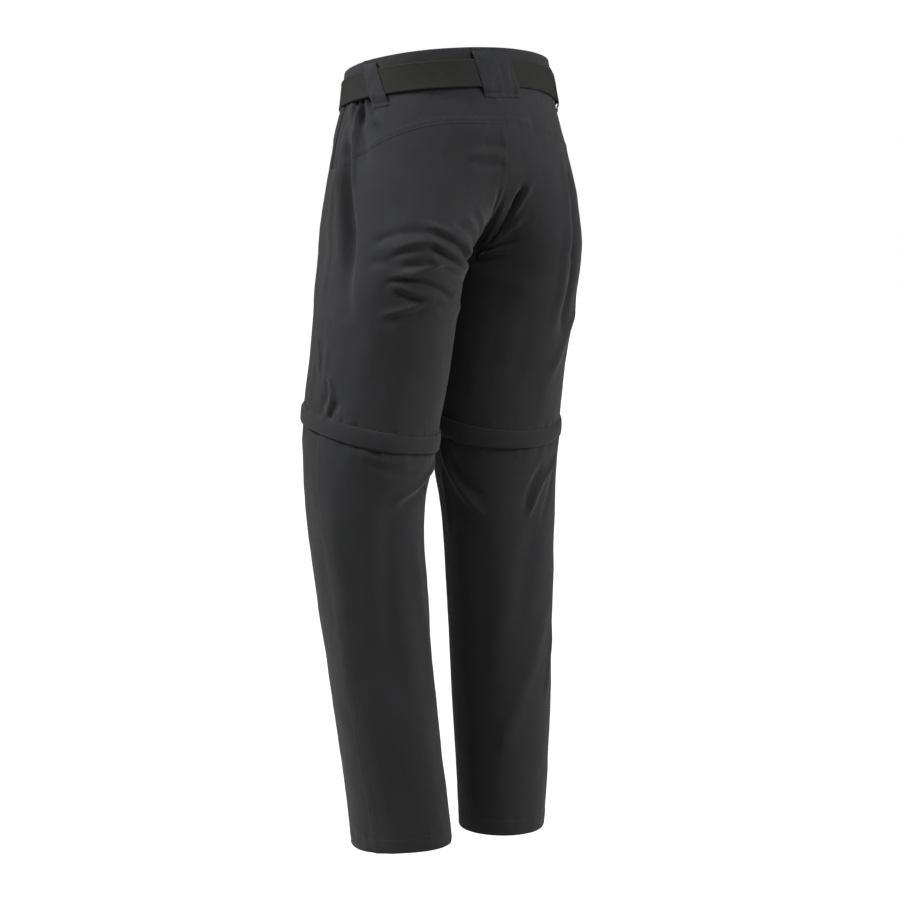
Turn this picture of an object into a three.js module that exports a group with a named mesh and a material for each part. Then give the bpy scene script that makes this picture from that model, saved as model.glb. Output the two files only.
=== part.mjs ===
// Convertible zip-off trousers, filled out as worn and hollow, open at the waist and both hems.
// Millimetres. +Z is up, the front faces -Y, the wearer's left is +X.
// The origin is the centre of the waist, halfway up the waistband at the side seams.
// A place on the cloth is named by a side, a face, a level and a share:
//   side   1 for the wearer's left half, -1 for the right half
//   share  0 at the side seam, 1 at the centre seam or the inseam; minus on the front face
//   level  millimetres of cloth below the waist's top edge, measured at the side
import * as THREE from 'three';

const cloth = 1.4;
const seamGap = 0.3;
const half = seamGap / 2;
const crotch = 241;
const waistTop = 25;
const crotchDepthY = 5;
const bandBottom = 43;
const bandThick = 2.4;
const mouthEnd = 130;
const flapTop = 454;
const flapBottom = 478;
const flapThick = 1.3;
const thighEnd = 464.3;
const coilHalf = 2.8;
const lowerStart = thighEnd + 2 * coilHalf + 3 * seamGap;
const tapeEnd = 453.2;
const tapeLift = -1.9;
const tapeThick = 1;
const coilLift = -0.1;
const hemLevel = 1028;
const hemTurn = 22;
const beltHeight = 35;
const beltThick = 1.9;
const loopThick = 1.2;
const shieldThick = 1.2;
const columns = 14;
const foldStart = 44;
const foldFade = 14;
const apartEnd = 330;

// Where the slider stops along the zip, and the bump of the flap over it.
const sliderShare = -0.4;
const sliderRise = 2.9;
const bumpHalf = 62;
const bumpFade = 30;

const button = { degrees: 12, level: 26, mmPerDegree: 2.3 };

// Sections above the crotch. outer: half width. back, front: depths. lobe and part: how far each
// half rounds off by itself towards the centre seam. tilt: rise of the ring per mm towards the back.
// centre: sideways place of the centre seam. girth: cloth from the side seam to the centre.
const body = {
  level:  [0, 50, 100, 160, 205, 228, 241],
  outer:  [142, 149, 161, 171, 174, 175.4, 176],
  back:   [109, 116, 128, 136, 134.5, 131, 126],
  front:  [107, 109, 113, 117, 115.5, 114, 110.5],
  lobe:   [0.20, 0.36, 0.53, 0.73, 0.88, 0.96, 1],
  part:   [0, 0, 0.08, 0.42, 0.80, 0.93, 1],
  tilt:   [0.21, 0.20, 0.13, 0.06, 0.02, 0.005, 0],
  centre: [0, -7, -11, -14, -10, -4, 0],
};

// Sections of a leg. drop: how much lower the back of the ring hangs.
const leg = {
  level:  [241, 256, 276, 326, 396, 450, 478, 525, 565, 625, 705, 785, 865, 945, 1028],
  across: [88, 88.4, 89, 88.5, 87.5, 87, 87, 84, 79.5, 75.5, 72.5, 69.5, 66.5, 62.5, 58.5],
  back:   [126, 123.4, 118, 107, 98, 92, 89, 82, 77, 73.5, 70.5, 69, 69, 70, 72],
  front:  [110.5, 108.6, 106, 99, 94, 88, 86, 80, 75.5, 72, 70, 68.5, 68.5, 70, 72],
  drop:   [0, 0, 0, 2, 9, 14, 14, 9, 5, 2, 0, 0, 0, 0, 0],
};

// Where each leg's centre runs and how far its toe side turns out, in degrees.
const pose = {
  '1': {
    level: [241, 276, 326, 396, 450, 525, 565, 625, 705, 785, 865, 945, 1028],
    x:     [88, 92, 98, 104, 110, 117, 118, 115, 106, 97, 87, 76, 65],
    y:     [5, 3, 0, -6, -9, -12, -12, -12, -12, -11, -10, -10, -10],
    turn:  [0, 0, 2, 5, 7, 9, 10, 12, 14, 16, 18, 19, 20],
  },
  '-1': {
    level: [241, 276, 326, 396, 450, 525, 565, 625, 705, 785, 865, 945, 1028],
    x:     [88, 88, 86, 83, 81, 84, 87, 91, 95, 97, 99, 100, 100],
    y:     [5, 3, 0, -6, -10, -14, -14, -16, -18, -19, -20, -20, -20],
    turn:  [0, 0, 1, 3, 5, 7, 9, 12, 15, 18, 22, 26, 30],
  },
};

// Cloth from seam to seam at a level, used to measure folds in millimetres.
const girth = {
  level: [0, 100, 160, 205, 241, 326, 450, 565, 700, 1028],
  run:   [196, 222, 248, 285, 327, 302, 282, 245, 226, 206],
};

// Yoke seam: its level against the share from the side seam to the centre.
const yokeSeam = {
  share: [0, 0.12, 0.25, 0.4, 0.55, 0.7, 1],
  left:  [131, 123, 112, 101, 94, 91, 93],
  right: [131, 124, 117, 111, 105, 98, 91],
};

// Folds: side, then start, bend and end (share, level), width and height in mm.
// Minus heights are troughs.
const folds = [
  [1, 0.06, 52, 0.14, 124, 0.13, 204, 9, 2.6],
  [1, 0.19, 60, 0.21, 90, 0.23, 124, 8, -2.2],
  [1, -0.05, 60, 0.05, 135, 0.05, 235, 13, -3.2],
  [1, -0.05, 160, -0.04, 196, -0.02, 234, 10, 2.2],
  [1, 0.78, 246, 0.64, 231, 0.56, 208, 9, 3.0],
  [1, 0.80, 252, 0.62, 241, 0.54, 222, 8, -3.0],
  [1, 0.80, 258, 0.60, 250, 0.48, 240, 9, 3.4],
  [1, 0.54, 212, 0.36, 210, 0.24, 224, 12, -2.6],
  [1, 0.52, 234, 0.38, 231, 0.26, 240, 11, -2.8],
  [1, 0.52, 253, 0.40, 260, 0.24, 275, 12, 2.6],
  [1, 0.30, 274, 0.40, 268, 0.60, 290, 9, -3.0],
  [1, 0.34, 280, 0.48, 296, 0.74, 306, 10, 3.0],
  [1, 0.32, 316, 0.40, 307, 0.46, 296, 9, 2.0],
  [1, 0.34, 324, 0.42, 322, 0.52, 320, 10, -2.2],
  [1, 0.03, 372, 0.07, 412, 0.06, 446, 9, 2.4],
  [1, 0.70, 484, 0.58, 506, 0.50, 540, 12, 2.4],
  [1, 0.30, 500, 0.40, 540, 0.44, 590, 16, -2.0],
  [-1, 0.90, 238, 0.90, 222, 0.92, 172, 11, -3.6],
  [-1, 0.92, 236, 0.87, 214, 0.78, 192, 10, 3.2],
  [-1, 0.84, 248, 0.78, 244, 0.66, 238, 9, -2.4],
  [-1, 0.90, 262, 0.76, 276, 0.60, 284, 12, 2.4],
  [-1, 0.54, 150, 0.48, 214, 0.40, 268, 14, 2.8],
  [-1, 0.40, 262, 0.40, 296, 0.50, 330, 12, 2.6],
  [-1, 0.24, 312, 0.34, 336, 0.40, 384, 12, 2.4],
  [-1, 0.90, 478, 0.86, 520, 0.76, 574, 13, 2.4],
  [-1, 0.26, 496, 0.34, 540, 0.46, 588, 13, 2.6],
  [-1, -0.10, 60, -0.08, 120, -0.06, 200, 12, -2.6],
  [1, -0.92, 236, -0.72, 214, -0.50, 200, 12, 3.2],
  [1, -0.88, 258, -0.66, 244, -0.44, 240, 12, -2.8],
  [1, -0.78, 282, -0.58, 270, -0.36, 276, 14, 2.4],
  [-1, -0.92, 236, -0.70, 218, -0.48, 208, 12, 3.0],
  [-1, -0.88, 256, -0.64, 248, -0.42, 248, 12, -2.8],
  [-1, -0.76, 288, -0.56, 276, -0.34, 286, 14, 2.2],
  [1, -0.30, 420, -0.55, 436, -0.80, 428, 13, -2.4],
  [1, -0.25, 500, -0.50, 520, -0.80, 508, 15, 2.4],
  [-1, -0.30, 424, -0.52, 438, -0.78, 430, 13, -2.2],
  [-1, -0.22, 502, -0.50, 524, -0.78, 512, 15, 2.4],
  [1, -0.62, 900, -0.50, 960, -0.44, 1012, 16, 2.0],
  [-1, -0.60, 880, -0.52, 950, -0.42, 1010, 16, 2.2],
];

// Value of a table's column at a place, along a smooth curve through its rows.
function along(table, column, place, key = 'level') {
  const x = table[key];
  const y = table[column];
  const last = x.length - 1;
  const p = Math.min(Math.max(place, x[0]), x[last]);
  let i = 0;
  while (i < last - 1 && p >= x[i + 1]) i += 1;
  const step = x[i + 1] - x[i];
  const t = (p - x[i]) / step;
  const slope = (k) => {
    const low = Math.max(k - 1, 0);
    const high = Math.min(k + 1, last);
    return (y[high] - y[low]) / (x[high] - x[low]);
  };
  const a = 2 * t ** 3 - 3 * t ** 2 + 1;
  const b = t ** 3 - 2 * t ** 2 + t;
  const c = t ** 3 - t ** 2;
  return a * y[i] + b * step * slope(i) + (1 - a) * y[i + 1] + c * step * slope(i + 1);
}

function ease(t) {
  const k = Math.min(Math.max(t, 0), 1);
  return k * k * (3 - 2 * k);
}

// Above the crotch: half an oval, rounding into its own lobe as it nears the crotch.
function bodyPoint(side, share, level) {
  const t = Math.abs(share);
  const face = share < 0 ? -1 : 1;
  const middle = along(body, 'centre', level);
  const outer = along(body, 'outer', level) - side * middle;
  const depth = along(body, face < 0 ? 'front' : 'back', level);
  const lobe = Math.min(along(body, 'lobe', level), 1);
  const part = Math.min(Math.max(along(body, 'part', level), 0), 1);
  const radius = outer / (1 + lobe);
  const plain = t * Math.PI / 2;
  const round = t * Math.PI - Math.acos(lobe) * t ** 4;
  const x = (1 - part) * outer * Math.cos(plain) + part * (outer - radius + radius * Math.cos(round));
  const bulge = (1 - part) * Math.sin(plain) + part * Math.sin(round);
  const y = face * depth * bulge + crotchDepthY * ease(level / crotch);
  const z = waistTop - level + along(body, 'tilt', level) * y;
  return new THREE.Vector3(side * x + middle, y, z);
}

// Below the crotch: a closed oval round the leg's centre, turned out and square to the leg's run.
function legPoint(side, share, level) {
  const face = share < 0 ? -1 : 1;
  const angle = Math.abs(share) * Math.PI;
  const path = pose[side];
  const turn = along(path, 'turn', level) * Math.PI / 180;
  const across = along(leg, 'across', level) * Math.cos(angle);
  const deep = face * Math.sin(angle);
  const depth = along(leg, face < 0 ? 'front' : 'back', level) * deep;
  const dx = across * Math.cos(turn) - depth * Math.sin(turn);
  const dy = across * Math.sin(turn) + depth * Math.cos(turn);
  const reach = 2;
  const runX = (along(path, 'x', level + reach) - along(path, 'x', level - reach)) / (2 * reach);
  const runY = (along(path, 'y', level + reach) - along(path, 'y', level - reach)) / (2 * reach);
  const square = ease((level - crotch) / 120);
  const lower = along(leg, 'drop', level) * deep;
  const z = waistTop - level + square * (runX * dx + runY * dy) - lower;
  return new THREE.Vector3(side * (along(path, 'x', level) + dx), along(path, 'y', level) + dy, z);
}

function plainPoint(side, share, level) {
  return level <= crotch ? bodyPoint(side, share, level) : legPoint(side, share, level);
}

// Outward direction of the unfolded cloth, from the two directions along it.
function outward(side, share, level) {
  const face = share < 0 ? -1 : 1;
  const t = Math.min(Math.max(Math.abs(share), 0.012), 0.995);
  const ringward = plainPoint(side, face * (t + 0.005), level)
    .sub(plainPoint(side, face * (t - 0.005), level));
  const down = plainPoint(side, face * t, level + 3)
    .sub(plainPoint(side, face * t, Math.max(level - 3, 0)));
  return ringward.cross(down).normalize().multiplyScalar(-side * face);
}

// Height of all folds at a place: each is a soft ridge or trough along a bent line, fading at its ends.
function foldHeight(side, share, level) {
  const run = along(girth, 'run', level);
  const parts = 10;
  let height = 0;
  for (const [foldSide, s0, l0, s1, l1, s2, l2, width, rise] of folds) {
    if (foldSide !== side) continue;
    let best = Infinity;
    let where = 0;
    for (let k = 0; k <= parts; k += 1) {
      const t = k / parts;
      const s = (1 - t) ** 2 * s0 + 2 * t * (1 - t) * s1 + t ** 2 * s2;
      const l = (1 - t) ** 2 * l0 + 2 * t * (1 - t) * l1 + t ** 2 * l2;
      const away = Math.hypot((share - s) * run, level - l);
      if (away < best) {
        best = away;
        where = t;
      }
    }
    const fade = Math.sin(Math.PI * (0.1 + 0.8 * where));
    height += rise * fade * Math.exp(-((best / width) ** 2));
  }
  return height;
}

// A point on the folded cloth, lifted from its outer face. Folds die out at the waist.
function clothPoint(side, share, level, lift) {
  const fold = level < foldStart ? 0
    : foldHeight(side, share, level) * ease((level - foldStart) / foldFade);
  const moved = plainPoint(side, share, level).addScaledVector(outward(side, share, level), fold + lift);
  return keepApart(moved, side, level);
}

// The two halves never cross the plane between them near the crotch.
function keepApart(moved, side, level) {
  if (level < bandBottom || level > apartEnd) return moved;
  const middle = level <= crotch ? along(body, 'centre', level)
    : (along(pose[1], 'x', level) - along(pose[-1], 'x', level)) / 2;
  if (side * (moved.x - middle) < half) moved.x = middle + side * half;
  return moved;
}

// A closed solid between an outer and an inner grid of points, rows by columns.
// joinColumns closes the grid round a ring.
function wall(name, colour, outer, inner, joinColumns = false) {
  const rows = outer.length;
  const columns = outer[0].length;
  const points = [];
  for (const grid of [outer, inner]) {
    for (const row of grid) {
      for (const point of row) points.push(point.x, point.y, point.z);
    }
  }
  const layer = rows * columns;
  const at = (side, i, j) => side * layer + i * columns + (j % columns);
  const index = [];
  const quad = (a, b, c, d) => index.push(a, b, c, a, c, d);
  const lastColumn = joinColumns ? columns : columns - 1;
  for (let i = 0; i < rows - 1; i += 1) {
    for (let j = 0; j < lastColumn; j += 1) {
      quad(at(0, i, j), at(0, i, j + 1), at(0, i + 1, j + 1), at(0, i + 1, j));
      quad(at(1, i, j), at(1, i + 1, j), at(1, i + 1, j + 1), at(1, i, j + 1));
    }
  }
  for (let j = 0; j < lastColumn; j += 1) {
    quad(at(0, 0, j + 1), at(0, 0, j), at(1, 0, j), at(1, 0, j + 1));
    quad(at(0, rows - 1, j), at(0, rows - 1, j + 1), at(1, rows - 1, j + 1), at(1, rows - 1, j));
  }
  if (!joinColumns) {
    for (let i = 0; i < rows - 1; i += 1) {
      quad(at(0, i, 0), at(0, i + 1, 0), at(1, i + 1, 0), at(1, i, 0));
      const last = columns - 1;
      quad(at(0, i + 1, last), at(0, i, last), at(1, i, last), at(1, i + 1, last));
    }
  }
  return solid(name, colour, points, index);
}

// A mesh from points and triangles, turned so that its faces look outward.
function solid(name, colour, points, index) {
  let volume = 0;
  const corner = (k) => new THREE.Vector3(points[3 * k], points[3 * k + 1], points[3 * k + 2]);
  for (let k = 0; k < index.length; k += 3) {
    volume += corner(index[k]).dot(corner(index[k + 1]).cross(corner(index[k + 2])));
  }
  if (volume < 0) {
    for (let k = 0; k < index.length; k += 3) {
      [index[k + 1], index[k + 2]] = [index[k + 2], index[k + 1]];
    }
  }
  const geometry = new THREE.BufferGeometry();
  geometry.setAttribute('position', new THREE.Float32BufferAttribute(points, 3));
  geometry.setIndex(index);
  geometry.computeVertexNormals();
  const plain = new THREE.MeshStandardMaterial({ color: colour, roughness: 0.9 });
  const mesh = new THREE.Mesh(geometry, plain);
  mesh.name = name;
  return mesh;
}

// A tube-like solid swept round: sections of equal corner count, closed round each section.
function sweep(name, colour, sections, joinEnds = false) {
  const corners = sections[0].length;
  const points = sections.flat().flatMap((point) => [point.x, point.y, point.z]);
  const index = [];
  const count = sections.length;
  const lastSection = joinEnds ? count : count - 1;
  for (let i = 0; i < lastSection; i += 1) {
    for (let j = 0; j < corners; j += 1) {
      const a = i * corners + j;
      const b = i * corners + (j + 1) % corners;
      const c = ((i + 1) % count) * corners + (j + 1) % corners;
      const d = ((i + 1) % count) * corners + j;
      index.push(a, b, c, a, c, d);
    }
  }
  if (!joinEnds) {
    for (let j = 1; j < corners - 1; j += 1) {
      index.push(0, j + 1, j);
      const end = (count - 1) * corners;
      index.push(end, end + j, end + j + 1);
    }
  }
  return solid(name, colour, points, index);
}

function spread(from, to, count) {
  return Array.from({ length: count + 1 }, (_, k) => from + (to - from) * k / count);
}

// A panel: levels is a list of functions of the share; start and end give its side edges by level.
function panel(name, colour, side, face, levels, start, end, columns, outerLift, innerLift) {
  const outer = [];
  const inner = [];
  for (const levelAt of levels) {
    const outerRow = [];
    const innerRow = [];
    for (const k of spread(0, 1, columns)) {
      const guess = levelAt(k);
      const low = start(guess);
      const high = end(guess);
      const t = low + (high - low) * k;
      const level = levelAt(t);
      outerRow.push(clothPoint(side, face * t, level, outerLift(t, level)));
      innerRow.push(clothPoint(side, face * t, level, innerLift(t, level)));
    }
    outer.push(outerRow);
    inner.push(innerRow);
  }
  return wall(name, colour, outer, inner);
}

const seamShare = (level) => half / along(girth, 'run', level);
const fromSide = (level) => seamShare(level);
const toCentre = (level) => 1 - seamShare(level);
const flat = () => 0;
const inside = () => -cloth;
const fixed = (levels) => levels.map((level) => () => level);

// Share of the pocket mouth, ahead of the side seam.
const mouthShare = (level) => 0.082 + 0.034 * (level - bandBottom) / (mouthEnd - bandBottom);

const crotchRows = [205, 219, 229, 235.5, 239, 241, 246, 254, 265];
const thighRows = [280, 297, 316, 338, 364, 392, 422, 449, thighEnd];
const lowerRows = [lowerStart, 482, 500, 524, 556, 600, 655, 725, 800, 880, 950, hemLevel - hemTurn,
  hemLevel - hemTurn + 2, hemLevel];

const group = new THREE.Group();
const add = (mesh) => group.add(mesh);
const charcoal = 0x4a4c50;

for (const side of [1, -1]) {
  const word = side > 0 ? 'left' : 'right';
  const seam = (t) => along(yokeSeam, word, Math.abs(t), 'share');

  const yokeTop = bandBottom + seamGap;
  const yokeRows = spread(0, 1, 6).map((k) => (t) => yokeTop * (1 - k) + (seam(t) - half) * k);
  add(panel(`yoke_${word}`, 0x505256, side, 1, yokeRows, fromSide, toCentre, columns, flat, inside));

  const seatRows = spread(0, 1, 6).map((k) => (t) => (seam(t) + half) * (1 - k) + crotchRows[0] * k);
  const backRows = [...seatRows, ...fixed(crotchRows.slice(1)), ...fixed(thighRows)];
  add(panel(`back_${word}`, charcoal, side, 1, backRows, fromSide, toCentre, columns, flat, inside));

  const mouthRows = fixed([bandBottom + seamGap, 64, 86, 108, mouthEnd]);
  const besideRows = fixed([mouthEnd + 0.4, 148, 167, 186]);
  const frontStart = (level) => (level <= mouthEnd ? mouthShare(level) : seamShare(level));
  const frontRows = [...mouthRows, ...besideRows, ...fixed(crotchRows), ...fixed(thighRows)];
  add(panel(`front_${word}`, charcoal, side, -1, frontRows, frontStart, toCentre, columns, flat, inside));

  // The pocket facing is level with the back panel at the side seam and sinks under the front panel.
  const under = cloth + 1.5;
  const sink = (t, level) => {
    const across = ease((t / mouthShare(Math.min(level, mouthEnd)) - 0.1) / 0.8);
    return -under * Math.max(across, ease((level - mouthEnd + 14) / 12));
  };
  const facingRows = fixed([bandBottom + seamGap, 58, 74, 90, 104, mouthEnd - 13, mouthEnd - 7,
    mouthEnd - 2, mouthEnd + 6, mouthEnd + 16]);
  const facingEnd = (level) => mouthShare(level) + 0.075;
  add(panel(`pocket_facing_${word}`, 0x54565a, side, -1, facingRows, fromSide, facingEnd, 8, sink,
    (t, level) => sink(t, level) - cloth));

  // Lower leg panels, doubled inside over the turned-up hem.
  const hemInside = (t, level) => (level > hemLevel - hemTurn + 1 ? -2 * cloth : -cloth);
  for (const face of [1, -1]) {
    const name = `lower_${face > 0 ? 'back' : 'front'}_${word}`;
    add(panel(name, charcoal, side, face, fixed(lowerRows), fromSide, toCentre, columns, flat,
      hemInside));
  }
}

// Shares of a ring round one leg, from the inseam by the front and the side seam to the back,
// at the same places as the panels' columns.
const ringShares = spread(-1, 1, 2 * columns).slice(0, -1);

for (const side of [1, -1]) {
  const word = side > 0 ? 'left' : 'right';

  // The flap hangs from its sewn top edge and stands off over the slider.
  const flapProfile = [[flapTop, 0.5], [flapTop + 3, 0.5], [flapTop + 8, 0.9], [flapBottom, 1.1]];
  const bump = (share, level) => {
    const away = Math.abs(share - sliderShare) * along(girth, 'run', level);
    return sliderRise * ease((bumpHalf - away) / bumpFade) * ease((level - flapTop) / 7);
  };
  const flapGrid = (extra) => flapProfile.map(([level, lift]) => (
    ringShares.map((share) => clothPoint(side, share, level, lift + extra + bump(share, level)))));
  add(wall(`knee_flap_${word}`, 0x46484c, flapGrid(flapThick), flapGrid(0), true));

  // Zip halves: a tape inside the panel's edge, with half of the coil standing at its edge.
  const tapeInside = tapeLift - tapeThick;
  const coilFrom = thighEnd + seamGap;
  const coilTo = coilFrom + coilHalf;
  const upper = [[tapeEnd, tapeInside], [coilTo, tapeInside], [coilTo, coilLift], [coilFrom, coilLift],
    [coilFrom, tapeLift], [tapeEnd, tapeLift]];
  const lower = upper.map(([level, lift]) => [2 * coilTo + seamGap - level, lift]).reverse();
  for (const [part, profile] of [['upper', upper], ['lower', lower]]) {
    const sections = ringShares.map((share) => profile.map(([level, lift]) => (
      clothPoint(side, share, level, lift))));
    add(sweep(`zip_${part}_${word}`, 0x2b2d30, sections, true));
  }

  // The slider rides on the coil with its pull lying along it, both under the flap.
  // Rows: reach along the zip, half of the width, lift of the underside and of the face.
  const sliderTable = [
    [-6, 4, 0.3, 1.9],
    [-4, 5, 0.2, 2.2],
    [4, 5, 0.2, 2.2],
    [5, 2.75, 0.4, 2.1],
    [20, 3.15, 0.8, 1.9],
    [22, 2.3, 0.9, 1.8],
  ];
  const zipMiddle = (thighEnd + lowerStart) / 2;
  const sections = sliderTable.map(([reach, halfWide, under, over]) => {
    const share = sliderShare + reach / along(girth, 'run', zipMiddle);
    const high = zipMiddle - halfWide;
    const low = zipMiddle + halfWide;
    const corners = [[high, under], [low, under], [low, over], [high, over]];
    return corners.map(([level, lift]) => clothPoint(side, share, level, lift));
  });
  add(sweep(`zip_slider_${word}`, 0x8a8d92, sections));
}

// A place round the waist: degrees from the centre front, 90 at the wearer's left side, 180 at the back.
function waistRing(degrees, level, lift) {
  const d = ((degrees % 360) + 360) % 360;
  if (d <= 90) return clothPoint(1, -(1 - d / 90), level, lift);
  if (d <= 180) return clothPoint(1, d / 90 - 1, level, lift);
  if (d <= 270) return clothPoint(-1, 3 - d / 90, level, lift);
  return clothPoint(-1, -(d / 90 - 3), level, lift);
}

// Waistband: its left end laps over the right end, which runs on beneath it at the centre front.
const ringStep = 90 / columns;
const bandStations = [0.4, ...spread(ringStep, 360 - ringStep, 4 * columns - 2), 357, 360,
  366.4, 373, 380];
const lap = { from: 347, over: 12 };
const bandSink = (d) => -(bandThick + seamGap) * ease((d - lap.from) / lap.over);
const bandCorners = [[0, 0], [bandBottom, 0], [bandBottom, -bandThick], [0, -bandThick]];
const bandSections = bandStations.map((d) => bandCorners.map(([level, lift]) => (
  waistRing(d, level, lift + bandSink(d)))));
add(sweep('waistband', 0x4c4e52, bandSections));

// Belt: from inside the buckle round the waist, then out over itself as a free end on the left.
const beltStart = { top: 13, lift: 2.5 };
// Columns: degree where a change starts, degrees it takes, change in mm.
const topChanges = [[60, 100, 2.5], [190, 60, 4], [270, 70, -6.5]];
const liftChanges = [[8, 26, -1.6], [318, 22, 1.6], [336, 12, beltThick + 0.5]];
// Columns: degree where the belt stands off the cloth, its spread in degrees, how far in mm.
const standOffs = [[152, 16, 1.9], [252, 22, 1.3]];
const changed = (table, d) => table.reduce((sum, [from, over, by]) => (
  sum + by * ease((d - from) / over)), 0);
const beltTop = (d) => beltStart.top + changed(topChanges, d);
const beltLift = (d) => standOffs.reduce((sum, [middle, spreadOut, by]) => (
  sum + by * Math.exp(-(((d - middle) / spreadOut) ** 2))), beltStart.lift + changed(liftChanges, d));
const beltStations = [-4.5, 0, ...spread(ringStep, 51 * ringStep, 50), 331, 334, 338, 342, 346,
  350, 354, 358, 362, 366, 371, 377, 383, 388];
const beltSections = beltStations.map((d) => {
  const top = beltTop(d);
  const lift = beltLift(d);
  const corners = [[top, 0], [top, beltThick], [top + beltHeight, beltThick], [top + beltHeight, 0]];
  return corners.map(([level, rise]) => waistRing(d, level, lift + rise));
});
add(sweep('belt', 0x3a3b33, beltSections));

// Belt loops: strips sewn down above and below the belt and lifted over it.
// top and bottom: place of the middle in degrees round the waist; wide: width in degrees.
const loopTable = {
  loop_back_wide: { top: 177.8, bottom: 181.8, wide: 21, count: 6, end: 63 },
  loop_side_left: { top: 107, bottom: 118, wide: 10, count: 3, end: 64 },
  loop_side_right: { top: 253, bottom: 242, wide: 10, count: 3, end: 66 },
  loop_front_left: { top: 38, bottom: 40, wide: 9, count: 3, end: 62 },
  loop_front_right: { top: 322, bottom: 320, wide: 9, count: 3, end: 62 },
};

for (const [name, loop] of Object.entries(loopTable)) {
  const beltFrom = beltTop(loop.top);
  const stations = [[0.5, 0], [5, 0], [beltFrom - 5, 0.75], [beltFrom - 1.5, 1], [beltFrom + 10, 1.06],
    [beltFrom + 25, 1.06], [beltFrom + beltHeight + 1.5, 1], [beltFrom + beltHeight + 5, 0.7],
    [loop.end - 4.5, 0], [loop.end, 0]];
  const grid = (extra) => stations.map(([level, rise]) => spread(-0.5, 0.5, loop.count).map((k) => {
    const middle = loop.top + (loop.bottom - loop.top) * level / loop.end;
    const d = middle + k * loop.wide;
    const over = beltLift(d) + beltThick + 0.1;
    return waistRing(d, level, 0.3 + over * rise + extra);
  }));
  add(wall(name, 0x4e5054, grid(loopThick), grid(0)));
}

// Fly shield: a strip behind the closed centre front.
const shieldDegrees = [-8, -5.5, -3, -1, 0, 1, 3, 5.5, 8];
const shieldLevels = [bandBottom + 1.5, 60, 78, 96, 114, 132, 150];
const shieldSink = (level) => -2.2 - 2.4 * ease((level - 60) / 90);
const shieldPoint = (d, level, lift) => (
  d === 0 ? waistRing(0, level, lift).add(waistRing(359.999, level, lift)).multiplyScalar(0.5)
    : waistRing(d, level, lift));
const shieldGrid = (extra) => shieldLevels.map((level) => (
  shieldDegrees.map((d) => shieldPoint(d, level, shieldSink(level) - extra))));
add(wall('fly_shield', 0x45474b, shieldGrid(0), shieldGrid(shieldThick)));

// Waist button on the lapped end, under the belt.
const buttonTable = [[6.4, 0.35], [7.5, 0.7], [7.5, 1.6], [6.6, 1.9]];
const buttonSections = buttonTable.map(([radius, lift]) => spread(0, 2 * Math.PI, 20).slice(0, -1)
  .map((angle) => waistRing(button.degrees + radius * Math.cos(angle) / button.mmPerDegree,
    button.level + radius * Math.sin(angle), lift)));
add(sweep('waist_button', 0x2e3033, buttonSections));

// Box buckle: a curved sleeve round both layers of the belt.
const buckleRing = (levelRoom, low, high, corner) => (d) => {
  const from = beltTop(0) - levelRoom;
  const to = beltTop(0) + beltHeight + levelRoom;
  return [[from, low + corner], [from, high - corner], [from + corner, high], [to - corner, high],
    [to, high - corner], [to, low + corner], [to - corner, low], [from + corner, low]]
    .map(([level, lift]) => waistRing(d, level, lift));
};
const buckleStations = spread(-8, 8, 6);
add(wall('belt_buckle', 0x55575a, buckleStations.map(buckleRing(2.6, 1, 8.2, 1.1)),
  buckleStations.map(buckleRing(0.5, 2.1, 7.2, 0.5)), true));

export default group;
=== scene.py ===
import math
import bpy
import numpy as np
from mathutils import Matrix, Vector


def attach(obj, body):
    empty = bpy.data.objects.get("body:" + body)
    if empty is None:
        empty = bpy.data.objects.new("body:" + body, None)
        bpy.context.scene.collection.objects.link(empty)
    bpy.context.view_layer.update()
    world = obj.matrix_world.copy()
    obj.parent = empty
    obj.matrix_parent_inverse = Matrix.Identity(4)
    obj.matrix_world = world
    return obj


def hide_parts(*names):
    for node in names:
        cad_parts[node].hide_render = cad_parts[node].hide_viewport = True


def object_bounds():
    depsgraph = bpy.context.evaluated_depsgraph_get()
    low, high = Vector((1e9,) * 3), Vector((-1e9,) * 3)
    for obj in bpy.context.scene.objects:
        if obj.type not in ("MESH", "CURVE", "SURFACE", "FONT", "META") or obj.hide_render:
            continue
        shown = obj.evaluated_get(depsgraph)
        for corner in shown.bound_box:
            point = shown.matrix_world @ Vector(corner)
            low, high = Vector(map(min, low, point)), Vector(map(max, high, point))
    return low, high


# Convertible zip-off trousers as worn and hollow, seen from behind and the wearer's left.
# Tables are in millimetres and meshes in metres. The front faces -Y, the wearer's left is +X.
# A place on the cloth: side 1 left or -1 right; share 0 at the side seam and 1 at the centre seam
# or the inseam, minus on the front; level, the cloth below the waist's top edge.

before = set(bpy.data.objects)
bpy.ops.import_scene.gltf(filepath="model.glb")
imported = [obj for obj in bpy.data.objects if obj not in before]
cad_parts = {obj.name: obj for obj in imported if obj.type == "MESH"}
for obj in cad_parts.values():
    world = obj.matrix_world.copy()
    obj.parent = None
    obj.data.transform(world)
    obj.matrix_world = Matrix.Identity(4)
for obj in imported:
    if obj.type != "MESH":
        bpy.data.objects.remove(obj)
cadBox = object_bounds()
print("frame loaded:", len(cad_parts), "solids")

mm = 0.001

trousers = dict(
    cloth=1.4, seamGap=0.3, crotch=241, waistTop=25, crotchDepthY=5,
    bandBottom=43, bandThick=2.4, mouthEnd=130,
    flapTop=454, flapBottom=478, flapThick=1.3,
    thighEnd=464.3, lowerStart=470.8, coilHalf=2.8,
    hemLevel=1028, hemTurn=22,
)
cloth = trousers["cloth"]
halfGap = 0.03

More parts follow.
